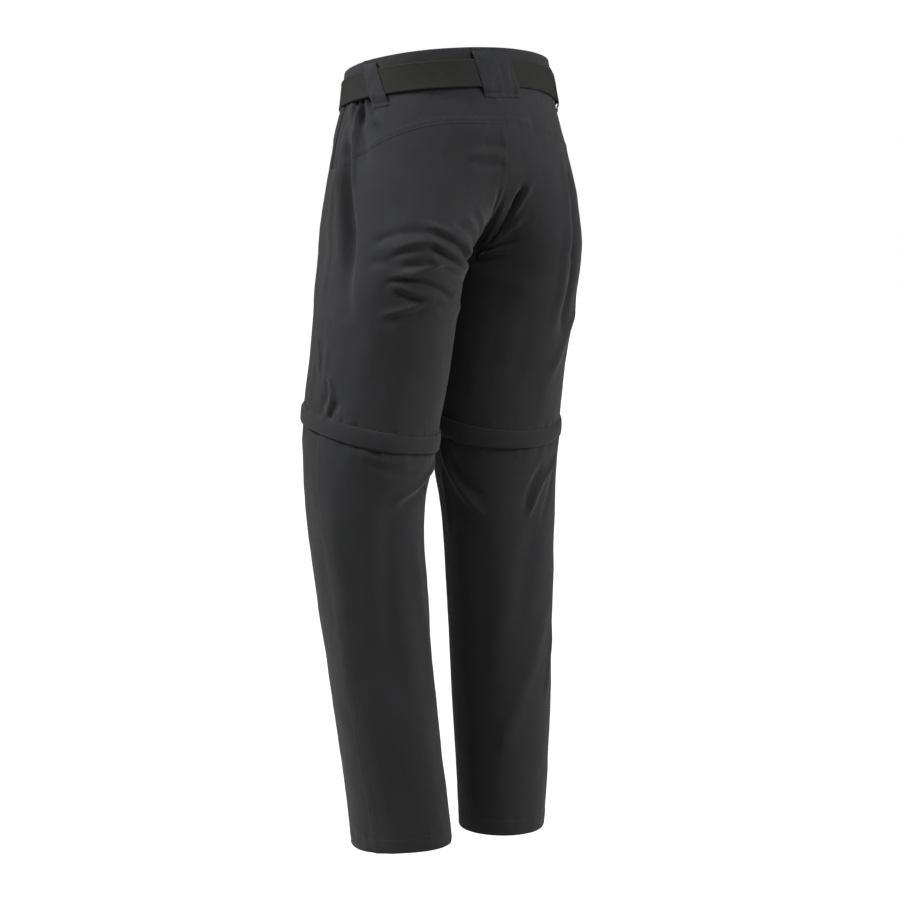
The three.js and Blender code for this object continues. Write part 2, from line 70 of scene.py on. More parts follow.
bodyRows = dict(
    level=[0, 50, 100, 160, 205, 228, 241],
    outer=[142, 149, 161, 171, 174, 175.4, 176],
    back=[109, 116, 128, 136, 134.5, 131, 126],
    front=[107, 109, 113, 117, 115.5, 114, 110.5],
    lobe=[0.20, 0.36, 0.53, 0.73, 0.88, 0.96, 1],
    part=[0, 0, 0.08, 0.42, 0.80, 0.93, 1],
    tilt=[0.21, 0.20, 0.13, 0.06, 0.02, 0.005, 0],
    centre=[0, -7, -11, -14, -10, -4, 0],
)

legRows = dict(
    level=[241, 256, 276, 326, 396, 450, 478, 525, 565, 625, 705, 785, 865, 945, 1028],
    across=[88, 88.4, 89, 88.5, 87.5, 87, 87, 84, 79.5, 75.5, 72.5, 69.5, 66.5, 62.5, 58.5],
    back=[126, 123.4, 118, 107, 98, 92, 89, 82, 77, 73.5, 70.5, 69, 69, 70, 72],
    front=[110.5, 108.6, 106, 99, 94, 88, 86, 80, 75.5, 72, 70, 68.5, 68.5, 70, 72],
    drop=[0, 0, 0, 2, 9, 14, 14, 9, 5, 2, 0, 0, 0, 0, 0],
)

# Where each leg's centre runs and how far its toe side turns out, in degrees.
poseLevels = [241, 276, 326, 396, 450, 525, 565, 625, 705, 785, 865, 945, 1028]
poseRows = {
    1: dict(
        level=poseLevels,
        x=[88, 92, 98, 104, 110, 117, 118, 115, 106, 97, 87, 76, 65],
        y=[5, 3, 0, -6, -9, -12, -12, -12, -12, -11, -10, -10, -10],
        turn=[0, 0, 2, 5, 7, 9, 10, 12, 14, 16, 18, 19, 20],
    ),
    -1: dict(
        level=poseLevels,
        x=[88, 88, 86, 83, 81, 84, 87, 91, 95, 97, 99, 100, 100],
        y=[5, 3, 0, -6, -10, -14, -14, -16, -18, -19, -20, -20, -20],
        turn=[0, 0, 1, 3, 5, 7, 9, 12, 15, 18, 22, 26, 30],
    ),
}

# Cloth from seam to seam at a level.
girthRows = dict(
    level=[0, 100, 160, 205, 241, 326, 450, 565, 700, 1028],
    run=[196, 222, 248, 285, 327, 302, 282, 245, 226, 206],
)

yokeRows = dict(
    share=[0, 0.12, 0.25, 0.4, 0.55, 0.7, 1],
    left=[131, 123, 112, 101, 94, 91, 93],
    right=[131, 124, 117, 111, 105, 98, 91],
)

# Folds: side, start, bend and end (share, level), width, rise. Minus rises are troughs.
# By the left hip: a long ridge down from the belt with a deep trough ahead of it.
hipFolds = [
    (1, 0.115, 51, 0.15, 90, 0.12, 150, 4.2, 4.4),
    (1, 0.12, 140, 0.118, 170, 0.085, 206, 4.5, 3),
    (1, 0.02, 136, 0.035, 180, 0.045, 250, 6, 2.8),
    (1, 0.045, 52, 0.08, 72, 0.12, 96, 4, 2.6),
    (1, 0.085, 48, 0.10, 66, 0.12, 84, 4, -1.8),
    (1, 0.00, 62, 0.09, 92, 0.07, 120, 7, -3),
    (1, 0.085, 43, 0.095, 52, 0.105, 66, 3.2, -2.6),
    (1, 0.14, 43, 0.155, 56, 0.175, 80, 3.5, -3.4),
    (1, 0.205, 43, 0.215, 50, 0.225, 58, 3, -4),
    (1, 0.13, 45, 0.19, 76, 0.21, 128, 7, -4),
    (1, 0.18, 51, 0.21, 64, 0.29, 86, 3.8, 4.4),
    (1, 0.21, 50, 0.24, 62, 0.28, 74, 4.5, -2.2),
    (1, 0.00, 134, -0.03, 160, -0.035, 215, 6, 2.8),
    (1, -0.03, 210, -0.02, 250, -0.03, 300, 8, 1.8),
    (1, -0.115, 54, -0.16, 74, -0.19, 96, 6, 1.8),
    (-1, -0.10, 60, -0.08, 120, -0.06, 200, 12, -2.6),
    (-1, 0.06, 50, 0.10, 90, 0.10, 150, 6, 2.2),
    (-1, 0.14, 48, 0.18, 74, 0.20, 110, 6, -2.2),
]

# On the left seat: a fan of ridges and troughs that gather at the crotch.
leftFan = [
    (1, 0.20, 228, 0.28, 210, 0.42, 214, 6, -1.8),
    (1, 0.42, 205, 0.62, 220, 0.84, 250, 5, 3.4),
    (1, 0.44, 212, 0.58, 228, 0.84, 256, 4.6, -3.4),
    (1, 0.28, 236, 0.36, 222, 0.47, 227, 6, 2),
    (1, 0.46, 226, 0.58, 240, 0.80, 262, 4.6, 3.2),
    (1, 0.27, 244, 0.37, 226, 0.47, 234, 6, -2.4),
    (1, 0.45, 232, 0.54, 247, 0.78, 268, 4.6, -3.4),
    (1, 0.45, 246, 0.56, 256, 0.80, 268, 4.6, 2.8),
    (1, 0.29, 271, 0.40, 260, 0.50, 252, 5, 2.6),
    (1, 0.33, 253, 0.41, 254, 0.48, 249, 4.5, -2),
    (1, 0.51, 254, 0.62, 263, 0.76, 276, 4.6, -2.6),
    (1, 0.35, 263, 0.46, 270, 0.70, 293, 5, 2.8),
    (1, 0.29, 274, 0.39, 262, 0.60, 289, 5, -3.2),
    (1, 0.31, 278, 0.42, 292, 0.52, 292, 5, 2.4),
    (1, 0.33, 285, 0.39, 296, 0.46, 297, 4.6, -2.4),
    (1, 0.46, 299, 0.38, 309, 0.29, 316, 5, 2.8),
    (1, 0.30, 319, 0.40, 317, 0.47, 307, 6, -2.2),
    (1, 0.54, 296, 0.64, 302, 0.78, 304, 6, 2),
    (1, 0.54, 302, 0.60, 309, 0.68, 309, 5, -1.6),
    (1, 0.20, 249, 0.26, 249, 0.32, 257, 8, -1.6),
    (1, 0.54, 207, 0.66, 220, 0.84, 244, 4.5, 1.8),
    (1, 0.58, 203, 0.72, 218, 0.86, 240, 4.5, -1.7),
    (1, 0.66, 198, 0.76, 214, 0.90, 238, 4.5, 1.8),
    (1, 0.72, 194, 0.82, 210, 0.92, 234, 4.5, -1.6),
    (1, 0.76, 188, 0.86, 206, 0.97, 232, 4.5, 1.8),
    (1, 0.94, 164, 0.96, 176, 0.955, 190, 5, -1.6),
    (1, 0.76, 127, 0.86, 125, 0.97, 128, 5, 1.8),
    (1, 0.78, 137, 0.88, 136, 0.98, 139, 5, -2.2),
    (1, 0.84, 116, 0.92, 115, 0.99, 118, 5, -1.2),
]

# On the right seat: the deep crease beside the centre seam, its ridges, and the ridge down the side.
rightFan = [
    (-1, 0.845, 166, 0.90, 194, 0.86, 246, 4, -6),
    (-1, 0.83, 156, 0.86, 174, 0.875, 194, 8, -1.4),
    (-1, 0.78, 160, 0.82, 178, 0.83, 196, 5, 2.2),
    (-1, 0.76, 200, 0.83, 213, 0.865, 236, 5, 3.2),
    (-1, 0.955, 180, 0.925, 205, 0.90, 240, 8, 2),
    (-1, 0.87, 246, 0.83, 231, 0.74, 225, 4.5, -2.2),
    (-1, 0.87, 248, 0.82, 237, 0.74, 236, 4.5, 1.8),
    (-1, 0.87, 252, 0.82, 246, 0.74, 244, 5, -2),
    (-1, 0.87, 243, 0.91, 230, 0.96, 218, 3.6, -2.4),
    (-1, 0.87, 240, 0.89, 228, 0.92, 214, 3.6, 2),
    (-1, 0.885, 236, 0.905, 222, 0.945, 208, 3.4, -1.6),
    (-1, 0.90, 262, 0.76, 276, 0.60, 284, 12, 2),
    (-1, 0.50, 136, 0.45, 180, 0.455, 232, 9, 2.2),
    (-1, 0.455, 220, 0.43, 262, 0.44, 330, 9, 2.2),
    (-1, 0.425, 140, 0.38, 190, 0.385, 240, 7.5, -6),
    (-1, 0.385, 230, 0.36, 270, 0.375, 330, 7.5, -6),
    (-1, 0.24, 312, 0.34, 336, 0.40, 384, 9, 2.8),
]

# Above and below the knees.
kneeFolds = [
    (1, -0.07, 390, -0.065, 430, -0.10, 455, 5, 2),
    (1, -0.05, 355, -0.015, 380, -0.02, 400, 4, 2.4),
    (1, 0.035, 365, 0.03, 395, 0.03, 412, 4, 1.6),
    (1, 0.05, 400, 0.105, 422, 0.055, 454, 4, 3.6),
    (1, 0.12, 432, 0.085, 446, 0.072, 455, 5, -3),
    (1, 0.04, 410, 0.06, 424, 0.045, 440, 3.6, -1.8),
    (1, 0.035, 430, 0.025, 446, 0.015, 455, 4, -2.2),
    (1, 0.16, 330, 0.14, 380, 0.16, 440, 14, -1.2),
    (1, 0.55, 330, 0.62, 380, 0.60, 440, 18, 1.4),
    (1, 0.82, 300, 0.86, 360, 0.84, 430, 14, -1.4),
    (-1, 0.62, 290, 0.56, 340, 0.60, 400, 16, -1.4),
    (-1, 0.76, 300, 0.80, 360, 0.78, 440, 14, 1.4),
    (-1, 0.18, 330, 0.20, 380, 0.22, 440, 9, -1.4),
    (-1, 0.44, 390, 0.42, 420, 0.44, 450, 10, 1),
    (1, 0.77, 496, 0.65, 520, 0.45, 553, 5, 4.2),
    (1, 0.72, 532, 0.60, 548, 0.47, 565, 6, -3.6),
    (1, 0.20, 486, 0.36, 496, 0.54, 490, 5, 1.6),
    (1, 0.30, 500, 0.42, 512, 0.58, 504, 6, -1.8),
    (-1, 0.95, 488, 0.90, 535, 0.71, 577, 5, 4.4),
    (-1, 0.89, 494, 0.82, 532, 0.70, 556, 7, -3),
    (-1, 0.953, 520, 0.94, 565, 0.945, 612, 5, 2.6),
    (-1, 0.24, 506, 0.385, 540, 0.44, 584, 4.5, 4.4),
    (-1, 0.38, 512, 0.43, 545, 0.47, 578, 5, -3.2),
    (-1, 0.20, 520, 0.30, 560, 0.34, 600, 6, -2.2),
]

# Down the lower legs: long soft drapes.
lowerFolds = [
    (1, 0.88, 500, 0.84, 560, 0.86, 640, 9, 1.8),
    (1, 0.10, 550, 0.085, 665, 0.06, 806, 15, 3.2),
    (1, 0.43, 558, 0.35, 650, 0.33, 814, 19, -4.4),
    (1, 0.58, 614, 0.61, 722, 0.64, 832, 11, 3),
    (1, 0.16, 820, 0.22, 900, 0.20, 990, 13, -2),
    (1, 0.46, 850, 0.50, 930, 0.46, 1005, 15, 2),
    (-1, 0.27, 728, 0.42, 820, 0.56, 925, 13, 3.4),
    (-1, 0.13, 756, 0.17, 800, 0.205, 845, 6, 2.2),
    (-1, 0.74, 600, 0.66, 700, 0.70, 830, 16, -2.2),
    (-1, 0.40, 600, 0.44, 680, 0.50, 760, 15, -2.6),
    (-1, 0.78, 850, 0.72, 930, 0.74, 1005, 14, 2),
    (1, -0.62, 900, -0.50, 960, -0.44, 1012, 16, 2),
    (-1, -0.60, 880, -0.52, 950, -0.42, 1010, 16, 2.2),
    (1, -0.20, 560, -0.30, 640, -0.28, 740, 18, 1.4),
    (1, -0.74, 560, -0.66, 620, -0.68, 720, 16, -1.4),
    (-1, -0.24, 566, -0.28, 650, -0.24, 750, 18, 1.4),
    (-1, -0.76, 566, -0.70, 630, -0.72, 730, 16, -1.4),
]

# On the hidden front: creases from the crotch, over the thighs and at the knees.
frontFolds = [
    (1, -0.92, 236, -0.72, 214, -0.50, 200, 8, 3.2),
    (1, -0.90, 246, -0.70, 228, -0.48, 218, 6, -2.6),
    (1, -0.88, 258, -0.66, 244, -0.44, 240, 8, 2.8),
    (1, -0.84, 270, -0.62, 256, -0.40, 258, 7, -2.4),
    (1, -0.78, 282, -0.58, 270, -0.36, 276, 9, 2.4),
    (-1, -0.92, 236, -0.70, 218, -0.48, 208, 8, 3),
    (-1, -0.90, 246, -0.68, 232, -0.46, 226, 6, -2.6),
    (-1, -0.88, 256, -0.64, 248, -0.42, 248, 8, 2.8),
    (-1, -0.82, 272, -0.60, 262, -0.38, 268, 7, -2.2),
    (-1, -0.76, 288, -0.56, 276, -0.34, 286, 9, 2.2),
    (1, -0.30, 420, -0.55, 436, -0.80, 428, 10, -2.6),
    (1, -0.25, 500, -0.50, 520, -0.80, 508, 11, 2.8),
    (-1, -0.30, 424, -0.52, 438, -0.78, 430, 10, -2.4),
    (-1, -0.22, 502, -0.50, 524, -0.78, 512, 11, 2.8),
    (1, -0.14, 180, -0.12, 240, -0.14, 320, 12, 1.8),
    (1, -0.34, 60, -0.36, 120, -0.40, 180, 12, -1.8),
    (1, -0.66, 190, -0.56, 170, -0.44, 160, 8, -1.8),
    (1, -0.90, 214, -0.80, 196, -0.74, 170, 7, 1.8),
    (1, -0.60, 330, -0.58, 370, -0.62, 410, 18, 1.6),
    (-1, -0.16, 190, -0.14, 250, -0.16, 330, 12, 1.8),
    (-1, -0.36, 60, -0.38, 120, -0.36, 176, 12, -1.8),
    (-1, -0.68, 196, -0.56, 176, -0.46, 168, 8, -1.8),
    (-1, -0.92, 218, -0.82, 200, -0.76, 176, 7, 1.8),
    (-1, -0.56, 330, -0.60, 370, -0.58, 414, 18, 1.6),
]

# The drape behind the left side seam, soft on the seam's side and steep towards the seat.
hipDrape = dict(
    level=[96, 125, 165, 205, 245, 285, 330],
    share=[0.074, 0.080, 0.084, 0.086, 0.096, 0.118, 0.15],
    depth=[0, 8, 14, 16, 12, 6, 0],
)
drapeSoft, drapeSteep = 11, 7


# Rows of a fold table with every rise times gain and every width times narrow.
def deeper(table, gain, narrow=1.0):
    return [(*row[:7], row[7] * narrow, row[8] * gain) for row in table]


allFolds = (hipFolds + deeper(leftFan, 1.35, 0.92) + deeper(rightFan, 1.3)
            + kneeFolds + lowerFolds + frontFolds)


# Value of a table's column along a smooth curve through its rows: cubic steps whose slope at a row
# is that of the line between its neighbours.
def along(table, column, place, key="level"):
    x = np.asarray(table[key], float)
    y = np.asarray(table[column], float)
    slope = np.empty_like(y)
    slope[1:-1] = (y[2:] - y[:-2]) / (x[2:] - x[:-2])
    slope[0] = (y[1] - y[0]) / (x[1] - x[0])
    slope[-1] = (y[-1] - y[-2]) / (x[-1] - x[-2])
    p = np.clip(place, x[0], x[-1])
    i = np.clip(np.searchsorted(x, p, side="right") - 1, 0, len(x) - 2)
    step = x[i + 1] - x[i]
    t = (p - x[i]) / step
    a = 2 * t**3 - 3 * t**2 + 1
    return (a * y[i] + (1 - a) * y[i + 1]
            + step * ((t**3 - 2 * t**2 + t) * slope[i] + (t**3 - t**2) * slope[i + 1]))


# Cloth from seam to seam at a level, and at the zip.
def runAt(level):
    return along(girthRows, "run", level)


zipRun = runAt(465)


# Level of the yoke's lower seam at a share.
def yokeSeam(word, share):
    return along(yokeRows, word, np.abs(share), "share")


# 0 below 0, 1 above 1, and 3t^2 - 2t^3 between.
def ease(t):
    k = np.clip(t, 0, 1)
    return k * k * (3 - 2 * k)


# Bell of height 1: e to minus (away / width) squared.
def bell(away, width):
    return np.exp(-(away / width) ** 2)


# Values as arrays of one shape.
def asGrids(*values):
    return np.broadcast_arrays(*(np.asarray(value, float) for value in values))


# Vectors divided by their lengths.
def unit(vectors):
    return vectors / np.linalg.norm(vectors, axis=-1, keepdims=True)


# Above the crotch: half an oval, rounding into its own lobe as it nears the crotch.
def bodyPoint(side, share, level):
    t = np.abs(share)
    face = np.where(share < 0, -1.0, 1.0)
    middle = along(bodyRows, "centre", level)
    outer = along(bodyRows, "outer", level) - side * middle
    depth = np.where(face < 0, along(bodyRows, "front", level), along(bodyRows, "back", level))
    lobe = np.minimum(along(bodyRows, "lobe", level), 1)
    part = np.clip(along(bodyRows, "part", level), 0, 1)
    radius = outer / (1 + lobe)
    plain = t * np.pi / 2
    lobed = t * np.pi - np.arccos(lobe) * t**4
    x = (1 - part) * outer * np.cos(plain) + part * (outer - radius + radius * np.cos(lobed))
    bulge = (1 - part) * np.sin(plain) + part * np.sin(lobed)
    y = face * depth * bulge + trousers["crotchDepthY"] * ease(level / trousers["crotch"])
    z = trousers["waistTop"] - level + along(bodyRows, "tilt", level) * y
    return np.stack([side * x + middle, y, z], -1)


# Below the crotch: an oval round the leg's centre, turned out and square to the leg's run.
def legPoint(side, share, level):
    face = np.where(share < 0, -1.0, 1.0)
    angle = np.abs(share) * np.pi
    path = poseRows[side]
    turn = np.radians(along(path, "turn", level))
    across = along(legRows, "across", level) * np.cos(angle)
    deep = face * np.sin(angle)
    depth = np.where(face < 0, along(legRows, "front", level), along(legRows, "back", level)) * deep
    dx = across * np.cos(turn) - depth * np.sin(turn)
    dy = across * np.sin(turn) + depth * np.cos(turn)
    reach = 2
    runX = (along(path, "x", level + reach) - along(path, "x", level - reach)) / (2 * reach)
    runY = (along(path, "y", level + reach) - along(path, "y", level - reach)) / (2 * reach)
    square = ease((level - trousers["crotch"]) / 120)
    lower = along(legRows, "drop", level) * deep
    z = trousers["waistTop"] - level + square * (runX * dx + runY * dy) - lower
    return np.stack([side * (along(path, "x", level) + dx), along(path, "y", level) + dy, z], -1)


# The unfolded cloth: the body down to the crotch, and a leg below it.
def plainPoint(side, share, level):
    crotch = trousers["crotch"]
    share, level = asGrids(share, level)
    body = bodyPoint(side, share, np.minimum(level, crotch))
    legs = legPoint(side, share, np.maximum(level, crotch))
    return np.where((level <= crotch)[..., None], body, legs)


# Outward direction of the unfolded cloth: the cross product of the ways round and down it.
def outward(side, share, level):
    face = np.where(share < 0, -1.0, 1.0)
    t = np.clip(np.abs(share), 0.012, 0.995)
    ringward = plainPoint(side, face * (t + 0.005), level) - plainPoint(side, face * (t - 0.005), level)
    down = plainPoint(side, face * t, level + 3) - plainPoint(side, face * t, np.maximum(level - 3, 0))
    return unit(np.cross(ringward, down)) * (-side * face)[..., None]


# Sum of the folds. Each is a bell across a bent line, easing out at both ends. On the left the
# drape is taken off.
def foldHeight(side, share, level):
    run = runAt(level)
    parts = 8
    t = np.linspace(0, 1, parts + 1)
    height = np.zeros_like(level)
    for foldSide, s0, l0, s1, l1, s2, l2, width, rise in allFolds:
        if foldSide != side:
            continue
        s = (1 - t) ** 2 * s0 + 2 * t * (1 - t) * s1 + t**2 * s2
        l = (1 - t) ** 2 * l0 + 2 * t * (1 - t) * l1 + t**2 * l2
        best = np.full(level.shape, 1e9)
        where = np.zeros_like(level)
        for k in range(parts):
            dx = (s[k + 1] - s[k]) * run
            dy = l[k + 1] - l[k]
            px = (share - s[k]) * run
            py = level - l[k]
            near = np.clip((px * dx + py * dy) / (dx * dx + dy * dy), 0, 1)
            away = np.hypot(px - near * dx, py - near * dy)
            closer = away < best
            best = np.where(closer, away, best)
            where = np.where(closer, (k + near) / parts, where)
        ends = ease((where + 0.12) / 0.3) * ease((1.12 - where) / 0.3)
        height += rise * ends * bell(best, width)
    if side > 0:
        away = (share - along(hipDrape, "share", level)) * run
        depth = np.maximum(along(hipDrape, "depth", level), 0)
        height -= depth * bell(away, np.where(away < 0, drapeSoft, drapeSteep))
    return height


# Smooth random heights between -1 and 1: seeded values on a lattice, eased between its corners.
def softNoise(a, b, cellA, cellB, seed):
    size = 128
    lattice = np.random.default_rng(seed).uniform(-1, 1, (size, size))
    x = a / cellA
    y = b / cellB
    i = np.floor(x).astype(int)
    j = np.floor(y).astype(int)
    u = ease(x - i)
    v = ease(y - j)
    i0, i1, j0, j1 = i % size, (i + 1) % size, j % size, (j + 1) % size
    top = lattice[i0, j0] * (1 - u) + lattice[i1, j0] * u
    low = lattice[i0, j1] * (1 - u) + lattice[i1, j1] * u
    return top * (1 - v) + low * v


# Ripples square to a seam: noise with short cells along it, fading with the distance from it.
def pucker(away, place, size, reach, pitch, seed):
    lively = 0.55 + 0.45 * softNoise(place, 0, 47, 1, seed + 1)
    return size * lively * softNoise(place, away, pitch, 3 * reach, seed) * np.exp(-np.abs(away) / reach)


# A felled strip beside a seam, raised between 0 and its width, with a dip along each stitch row.
def felled(away, width, rise):
    strip = ease((away + 0.3) / 0.9) * (1 - ease((away - width + 0.5) / 1.2))
    dips = bell(away - seams["row"], 0.9) + bell(away - width + seams["row"], 0.9)
    return strip * (rise - 0.18 * dips)


# Widths of the felled strips, their rise, the first stitch row's place and the seam's groove.
seams = dict(fell=8.4, fellRise=0.42, sideFell=10.5, row=1.6, groove=0.1)


# Unevenness of the cloth: rise, cells round and down, seed.
uneven = [(1.3, 58, 95, 11), (0.65, 24, 40, 21), (0.20, 9, 13, 31)]


# Everything finer than the folds: unevenness, seam strips, puckers, gathers, tucks.
def fineHeight(side, share, level):
    run = runAt(level)
    word = "left" if side > 0 else "right"
    across = share * run
    centreAway = (1 - np.abs(share)) * run
    face = np.where(share < 0, -1.0, 1.0)
    crotch = trousers["crotch"]
    mouthLow = trousers["mouthEnd"] + 3
    height = np.zeros_like(level)

    still = ease((centreAway - 4) / 30)
    for rise, cellRound, cellDown, seed in uneven:
        height += still * rise * softNoise(across, level, cellRound, cellDown, seed + side)

    height += pucker(across, level, 0.55, 9, 5.2, 41 + side)
    height += np.where(share > 0, felled(across, seams["sideFell"], seams["fellRise"]), 0)
    height -= seams["groove"] * bell(across, 0.8)

    height += pucker(face * centreAway, level, 0.5, 8, 5.0, 51 + side) * ease((level - crotch) / 8)
    height += pucker(side * centreAway, level, 0.5, 8, 5.0, 61) * (1 - ease((level - crotch + 8) / 8))
    felledHere = (side > 0) & (share > 0) & (level < crotch)
    height += np.where(felledHere, felled(centreAway, seams["fell"], seams["fellRise"]), 0)
    height -= seams["groove"] * bell(centreAway, 0.8)

    fromYoke = level - yokeSeam(word, share)
    onBack = ease(share * run / 3)
    height += onBack * pucker(fromYoke + 4, across, 0.95, 8, 3.6, 71 + side)
    height += onBack * felled(-fromYoke, seams["fell"], seams["fellRise"])
    height -= onBack * seams["groove"] * bell(fromYoke, 0.8)

    # The cloth is drawn in under the belt by the left hip, and crumpled over the pockets.
    if side > 0:
        height -= 1.9 * bell(level - 50, 4.5) * bell(share - 0.09, 0.12)
    pocket = bell(share + 0.035, 0.065) * ease((mouthLow - level) / 10)
    height += 0.6 * pocket * softNoise(across, level, 6, 7, 191 + side)
    height -= 1.1 * bell(level - mouthLow + 1, 2.2) * bell(share + 0.045, 0.05)

    underBand = level - trousers["bandBottom"]
    height += pucker(underBand, across, 0.8, 9, 6, 81 + side)
    gathers = bell(share - 0.13, 0.11) * (1 if side > 0 else 0.45) + 0.25
    gathers = gathers * ease((underBand - 3) / 6)
    height += gathers * 2.6 * softNoise(across, underBand, 9, 60, 91 + side) * np.exp(-underBand / 24)

    overFlap = trousers["flapTop"] - level
    thigh = level < trousers["lowerStart"] - 1
    height += np.where(thigh, pucker(overFlap, across, 2.0, 6, 4.6, 101 + side), 0)
    underFlap = level - trousers["flapBottom"]
    tucks = 1.7 * softNoise(across, underFlap, 8, 70, 111 + side) * np.exp(-np.abs(underFlap) / 15)
    tucks -= 1.4 * np.exp(-np.abs(underFlap) / 6)
    height += np.where(thigh, 0, tucks)

    hemStitch = level - (trousers["hemLevel"] - trousers["hemTurn"] + 2)
    height += pucker(hemStitch, across, 1.1, 9, 5.5, 121 + side)
    height -= 0.3 * bell(hemStitch, 1.2)

    # Under a knee flap all this is left out, and it starts below the waistband.
    underCover = (ease((level - trousers["flapTop"] + 1) / 3)
                  * (1 - ease((level - trousers["flapBottom"] + 3) / 5)))
    return height * (1 - underCover) * ease((level - 43.5) / 3)


cleftForm = dict(wide=5, start=165, startOver=30, end=262, endOver=20)


# A point of the cloth, lifted from its outer face. fine is 1 with all small forms and 0 without.
# The folds ease in below the level foldsFrom, over foldsOver.
def clothPoint(side, share, level, lift=0.0, fine=0.0, foldsFrom=43.5, foldsOver=5):
    share, level = asGrids(share, level)
    height = foldHeight(side, share, level) * ease((level - foldsFrom) / foldsOver)
    height = np.where(level < 44, 0, height)
    if fine > 0:
        height = height + fine * fineHeight(side, share, level)
    # In the cleft at the crotch the seam's edges face each other, so they stay unfolded.
    centreAway = (1 - np.abs(share)) * runAt(level)
    starts = ease((level - cleftForm["start"]) / cleftForm["startOver"])
    ends = ease((level - cleftForm["end"]) / cleftForm["endOver"])
    cleft = bell(centreAway, cleftForm["wide"]) * starts * (1 - ends)
    height = height * (1 - cleft)
    moved = plainPoint(side, share, level) + outward(side, share, level) * (height + lift)[..., None]
    return keepApart(moved, side, level)


# Near the crotch the two halves are kept apart down to this level.
apartTo = 330


# The two halves never cross the plane between them near the crotch.
def keepApart(moved, side, level):
    legMiddle = (along(poseRows[1], "x", level) - along(poseRows[-1], "x", level)) / 2
    middle = np.where(level <= trousers["crotch"], along(bodyRows, "centre", level), legMiddle)
    near = (level >= trousers["bandBottom"]) & (level <= apartTo)
    crossing = near & (side * (moved[..., 0] - middle) < halfGap)
    moved[..., 0] = np.where(crossing, middle + side * halfGap, moved[..., 0])
    return moved


# A place round the waist: degrees from the centre front, 90 at the wearer's left, 180 at the back.
# The belt lies over the folds, so they start below it.
def waistPoint(degrees, level, lift):
    degrees, level, lift = asGrids(degrees, level, lift)
    d = degrees % 360
    leftShare = np.where(d <= 90, -(1 - d / 90), d / 90 - 1)
    rightShare = np.where(d <= 270, 3 - d / 90, -(d / 90 - 3))
    belowBelt = dict(foldsFrom=50, foldsOver=8)
    left = clothPoint(1, np.clip(leftShare, -1, 1), level, lift, **belowBelt)
    right = clothPoint(-1, np.clip(rightShare, -1, 1), level, lift, **belowBelt)
    return np.where((d <= 180)[..., None], left, right)


# Quads of a grid, row by row: each has four corner numbers. The last row or column may join the first.
def gridQuads(rows, columns, joinRows=False, joinColumns=False):
    i, j = np.meshgrid(np.arange(rows if joinRows else rows - 1),
                       np.arange(columns if joinColumns else columns - 1), indexing="ij")
    i2, j2 = (i + 1) % rows, (j + 1) % columns
    corners = [(i, j), (i, j2), (i2, j2), (i2, j)]
    return np.stack([a * columns + b for a, b in corners], -1).reshape(-1, 4)


# A new object, linked to the scene.
def addObject(name, data):
    obj = bpy.data.objects.new(name, data)
    bpy.context.scene.collection.objects.link(obj)
    return obj


# A mesh object from points in millimetres and quads. flow is each corner's place on the cloth.
def makeObject(name, points, quads, material, flow=None, sharp=50):
    mesh = bpy.data.meshes.new(name)
    mesh.vertices.add(len(points))
    mesh.vertices.foreach_set("co", (points * mm).astype(np.float32).ravel())
    mesh.loops.add(quads.size)
    mesh.loops.foreach_set("vertex_index", quads.astype(np.int32).ravel())
    mesh.polygons.add(len(quads))
    mesh.polygons.foreach_set("loop_start", np.arange(0, quads.size, quads.shape[1], dtype=np.int32))
    mesh.update(calc_edges=True)
    if flow is not None:
        layer = mesh.uv_layers.new(name="flow")
        layer.data.foreach_set("uv", (flow * mm).astype(np.float32).ravel())
    mesh.validate()
    mesh.shade_smooth()
    mesh.set_sharp_from_angle(angle=math.radians(sharp))
    mesh.materials.append(material)
    return addObject(name, mesh)


# Six times the volume inside the quads, minus where they face inwards.
def volumeSign(points, quads):
    a, b, c, d = (points[quads[:, k]] for k in range(4))
    return np.sum(a * np.cross(b, c)) + np.sum(a * np.cross(c, d))


# Quads turned to face outwards, with their flows.
def outwardQuads(points, quads, flows):
    if volumeSign(points, quads) < 0:
        return quads[:, ::-1], flows[:, ::-1].reshape(-1, 2)
    return quads, flows.reshape(-1, 2)


# A closed wall between an outer and an inner grid of points (rows, columns, 3), with its rims.
def wall(name, material, outer, inner, flow, joined=False):
    rows, columns = outer.shape[:2]
    layer = rows * columns
    points = np.concatenate([outer.reshape(-1, 3), inner.reshape(-1, 3)])
    wide = flow.shape[1]
    flowFlat = flow.reshape(-1, 2)
    face = gridQuads(rows, columns, joinColumns=joined)
    last = columns if joined else columns - 1
    corner = gridQuads(rows, wide).reshape(rows - 1, wide - 1, 4)[:, :last].reshape(-1, 4)
    quads = [face, face[:, ::-1] + layer]
    flows = [flowFlat[corner], flowFlat[corner[:, ::-1]]]

    # Quads along one edge, from the outer layer's corners to the inner one's.
    def rim(a, b, flowA, flowB, turned):
        order = slice(None, None, -1 if turned else 1)
        quads.append(np.stack([a, b, layer + b, layer + a], -1)[:, order])
        flows.append(flowFlat[np.stack([flowA, flowB, flowB, flowA], -1)[:, order]])
    j = np.arange(last)
    for row, turned in ((0, True), (rows - 1, False)):
        rim(row * columns + j, row * columns + (j + 1) % columns, row * wide + j, row * wide + j + 1, turned)
    if not joined:
        i = np.arange(rows - 1)
        for column, turned in ((0, False), (columns - 1, True)):
            a, b = i * columns + column, (i + 1) * columns + column
            rim(a, b, i * wide + column, (i + 1) * wide + column, turned)
    quads, flows = outwardQuads(points, np.concatenate(quads), np.concatenate(flows))
    return makeObject(name, points, quads, material, flows)


